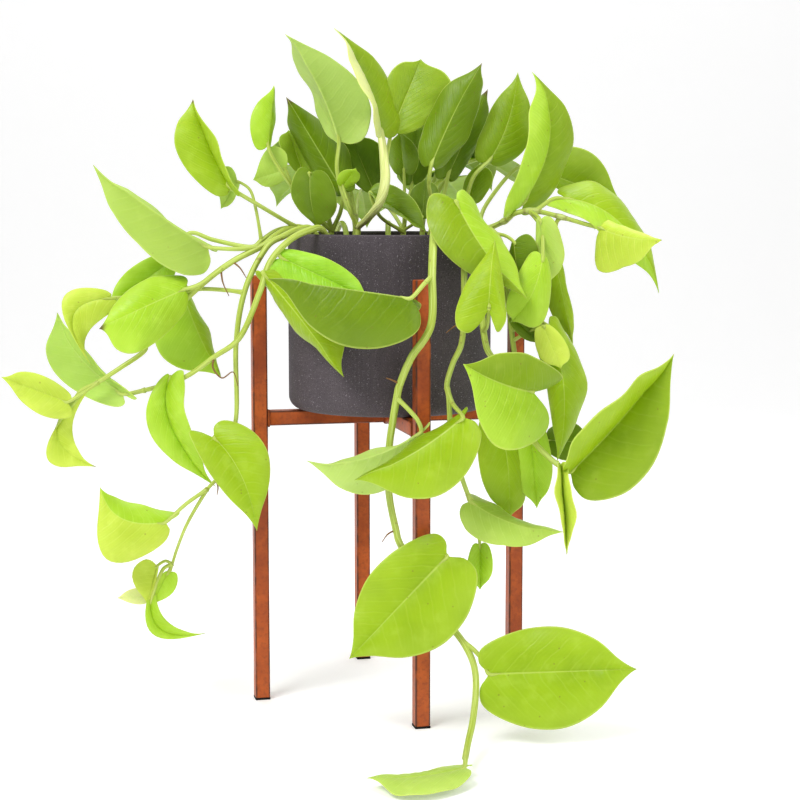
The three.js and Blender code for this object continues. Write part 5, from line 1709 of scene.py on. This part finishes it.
@dataclass
class Soil:
    """The soil, uneven on top, with crumbs and pale grit on it.

    Attributes:
        radius: its radius at the top, in millimetres.
        low: the height of its bottom.
        high: the height of its top.
        crumbs: how many crumbs lie on it.
        foot_round: the radius of its lower edge.
        size: the smallest and largest crumb's radius.
        margin: how far inside the pot the crumbs end.
        pale: how many of them are pale grit, as a share.
        sides: how many sides its circle has.
        earth: the bed's colour.
        grit: the colour of pale grit.
        crumb: the colour of the other crumbs.
    """

    radius: float
    low: float
    high: float
    crumbs: int = 420
    foot_round: float = 13.0
    size: tuple[float, float] = (0.8, 2.4)
    margin: float = 5.0
    pale: float = 0.12
    sides: int = 120
    earth: tuple[int, int, int] = (60, 44, 34)
    grit: tuple[int, int, int] = (206, 200, 188)
    crumb: tuple[int, int, int] = (74, 52, 38)

    def heights(self, x: Array, y: Array) -> Array:
        """The ground's unevenness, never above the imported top: a sum of a few crossed sines."""
        waves = (np.sin(x * 0.11 + 1.0) * np.sin(y * 0.13) + 0.6 * np.sin(x * 0.31 + y * 0.17)
                 + 0.4 * np.sin(x * 0.53 - y * 0.47 + 2.0) + 0.25 * np.sin(x * 1.1) * np.sin(y * 1.3))
        return -1.6 + 0.65 * waves

    def build(self, workshop: Workshop, ground: bpy.types.Material, grit: bpy.types.Material) -> None:
        """Builds the ground and its crumbs in the place of their node."""
        rings = [[0, self.low], [self.radius - self.foot_round, self.low],
                 [self.radius, self.low + self.foot_round], [self.radius, self.high]]
        top = [[radius, self.high] for radius in np.linspace(self.radius - 0.01, 0, 40)]
        patch = revolved(circle(self.sides), np.array(rings + top), False, np.array(linear(*self.earth)))
        level = patch.points[:, 2] > self.high - 0.1
        rise = self.heights(patch.points[:, 0], patch.points[:, 1])
        patch.points[:, 2] += np.where(level, rise, 0.0)
        piece = workshop.piece("soil_ground", patch, [ground])
        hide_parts("soil")
        crumbs = workshop.piece("soil_crumbs", self.crumb_patch(), [grit], smooth=False)
        log.info("soil built")

    def crumb_patch(self) -> Patch:
        """Crumbs as small cut stones: one twenty-sided stone, scaled, squashed and turned anew."""
        chance = np.random.default_rng(11)
        gold = (1 + 5**0.5) / 2
        corner = np.array([[-1, gold, 0], [1, gold, 0], [-1, -gold, 0], [1, -gold, 0], [0, -1, gold],
                           [0, 1, gold], [0, -1, -gold], [0, 1, -gold], [gold, 0, -1], [gold, 0, 1],
                           [-gold, 0, -1], [-gold, 0, 1]], float)
        corner = unit(corner)
        gaps = np.linalg.norm(corner[:, None] - corner[None], axis=2)
        near = (gaps > 0) & (gaps < 1.1)
        a, b, c = np.nonzero(near[:, :, None] & near[None, :, :] & near[:, None, :])
        faces = np.stack([a, b, c], -1)[(a < b) & (b < c)]
        centre = corner[faces].mean(1)
        first, second, third = corner[faces.T]
        turn = np.cross(second - first, third - first)
        faces = np.where((np.sum(turn * centre, 1) < 0)[:, None], faces[:, ::-1], faces)
        count = self.crumbs
        reach = (self.radius - self.margin) * np.sqrt(chance.uniform(0, 1, count))
        angle = chance.uniform(0, 2 * np.pi, count)
        place = np.stack([reach * np.cos(angle), reach * np.sin(angle)], -1)
        size = chance.uniform(*self.size, count)
        stones = corner[None] * (1 + chance.normal(0, 0.16, (count, 12, 1)))
        spin = chance.uniform(0, np.pi, count)
        c, s = np.cos(spin)[:, None], np.sin(spin)[:, None]
        x = stones[..., 0] * c - stones[..., 1] * s
        y = stones[..., 0] * s + stones[..., 1] * c
        squash = chance.uniform(0.45, 0.9, (count, 1))
        solid = np.stack([x, y, stones[..., 2] * squash], -1) * size[:, None, None]
        height = np.minimum(self.heights(place[:, 0], place[:, 1]), -1.0) + self.high
        solid[..., :2] += place[:, None, :]
        solid[..., 2] = np.minimum(solid[..., 2] + height[:, None], self.high - 0.05)
        grit = chance.uniform(0, 1, count) < self.pale
        tone = np.where(grit[:, None], linear(*self.grit), linear(*self.crumb))
        tone[:, :3] *= chance.uniform(0.7, 1.2, (count, 1))
        numbers = faces[None] + 12 * np.arange(count)[:, None, None]
        return Patch(
            solid.reshape(-1, 3), numbers.reshape(-1, 3), np.zeros((12 * count, 2)),
            np.repeat(tone, 12, axis=0), np.zeros(12 * count), np.zeros(20 * count, int),
        )


@dataclass
class Studio:
    """The pale floor, the soft lights and the camera at the plant's viewpoint.

    Attributes:
        shift: where the stand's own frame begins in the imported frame, in millimetres.
        target: where the lights look, in metres from the pot's axis.
        lamps: each light's name, its place, the length of its side and its power in watts.
        paper: the backdrop's lightness and its own faint light.
        around: how strong the even light all round is.
    """

    shift: Array
    target: Point = (0.0, 0.0, 0.4)
    lamps: tuple[tuple[str, Point, float, float], ...] = (
        ("key", (-1.3, -1.6, 2.3), 1.2, 55.0),
        ("fill", (1.7, -1.5, 1.4), 1.4, 20.0),
        ("top", (0.2, 0.6, 2.4), 1.2, 22.0),
    )
    paper: tuple[float, float] = (0.92, 0.2)
    around: float = 0.46

    def backdrop(self) -> None:
        """A pale floor that curves up into a pale wall: a strip swept along X."""
        bend = np.linspace(0, np.pi / 2, 13)
        radius, back = 1.2, 2.4
        arc = np.stack([back + radius * np.sin(bend), radius * (1 - np.cos(bend))], -1)
        strip = np.vstack([[[-4.0, 0.0]], arc, [[back + radius, 5.0]]])
        x = np.array([-6.0, 6.0])
        points = np.stack([np.tile(x, len(strip)), *np.repeat(strip, 2, axis=0).T], -1)
        mesh = bpy.data.meshes.new("backdrop")
        cells = [(2 * i, 2 * i + 1, 2 * i + 3, 2 * i + 2) for i in range(len(strip) - 1)]
        mesh.from_pydata(points.tolist(), [], cells)
        mesh.polygons.foreach_set("use_smooth", np.full(len(cells), True))
        wire = Wiring("backdrop_paper")
        wire.set(Socket.COLOUR, (*[self.paper[0]] * 3, 1.0))
        wire.set(Socket.ROUGHNESS, 0.9)
        wire.set(Socket.SHINE, 0.1)
        wire.shader.inputs["Emission Color"].default_value = (1.0, 1.0, 1.0, 1.0)
        wire.shader.inputs["Emission Strength"].default_value = self.paper[1]
        mesh.materials.append(wire.material)
        floor = bpy.data.objects.new("backdrop", mesh)
        bpy.context.scene.collection.objects.link(floor)
        floor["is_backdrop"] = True

    def light(self, name: str, place: Point, size: float, power: float) -> None:
        """A square soft light that looks at the target.

        Args:
            name: the light's name.
            place: where it hangs, in metres from the pot's axis.
            size: the length of its side, in metres.
            power: its power in watts.
        """
        lamp = bpy.data.lights.new(name, "AREA")
        lamp.shape, lamp.size, lamp.energy = "SQUARE", size, power
        holder = bpy.data.objects.new(name, lamp)
        start = np.array(place) + self.shift / 1000.0
        away = unit(start - (np.array(self.target) + self.shift / 1000.0))
        holder.location = start
        holder.rotation_euler = (np.arccos(away[2]), 0.0, np.arctan2(away[0], -away[1]))
        bpy.context.scene.collection.objects.link(holder)

    def camera(self) -> None:
        """The camera: a lens of the viewpoint's focal length over an 800-pixel picture."""
        lens = bpy.data.cameras.new("camera")
        lens.sensor_width = 36.0
        lens.lens = VIEW.focal / 800.0 * 36.0
        lens.clip_end = 50.0
        holder = bpy.data.objects.new("camera", lens)
        holder.location = (np.array(VIEW.eye) + self.shift) / 1000.0
        holder.rotation_euler = (np.pi / 2 - VIEW.pitch, 0.0, 0.0)
        bpy.context.scene.collection.objects.link(holder)
        bpy.context.scene.camera = holder

    def build(self) -> None:
        """Sets floor, lights, camera and the even light all round."""
        self.backdrop()
        for lamp in self.lamps:
            self.light(*lamp)
        self.camera()
        world = bpy.data.worlds.new("studio")
        world.use_nodes = True
        even = world.node_tree.nodes["Background"].inputs
        even["Color"].default_value = (1.0, 1.0, 1.0, 1.0)
        even["Strength"].default_value = self.around
        bpy.context.scene.world = world
        bpy.context.scene.view_settings.view_transform = "Standard"


def main() -> None:
    """Builds studio, stand, pot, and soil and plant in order."""
    logging.basicConfig(level=logging.INFO, format="%(message)s")
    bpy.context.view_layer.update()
    pot = np.array(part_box("pot")) * 1000.0
    soil = np.array(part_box("soil")) * 1000.0
    shift = np.array([*pot.mean(0)[:2], 0.0])
    workshop = Workshop(shift)
    Studio(shift).build()
    paint = SteelFinish("rust_paint").material()
    rubber = GroundFinish("foot_rubber", (16, 15, 15), (34, 32, 32), 400.0, 0.0002).material()
    Stand(shift).build(workshop, paint, rubber)
    Pot((pot[1, 0] - pot[0, 0]) / 2, pot[0, 2], pot[1, 2]).build(
        workshop, PotFinish("charcoal_stoneware").material())
    Soil((soil[1, 0] - soil[0, 0]) / 2, soil[0, 2], soil[1, 2]).build(
        workshop, GroundFinish("potting_soil", (30, 20, 14), (78, 58, 42), 240.0, 0.0016).material(),
        GroundFinish("soil_grit", (40, 28, 20), (120, 96, 74), 500.0, 0.0005, True).material())
    Plant(soil[1, 2], pot[1, 2]).build(workshop, [
        LeafFinish("leaf_upper", False).material(), LeafFinish("leaf_under", True).material(),
        StalkFinish("stalk_skin").material(), StalkFinish("air_root", 0.9).material(),
    ])
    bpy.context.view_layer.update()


if __name__ == "__main__":
    main()
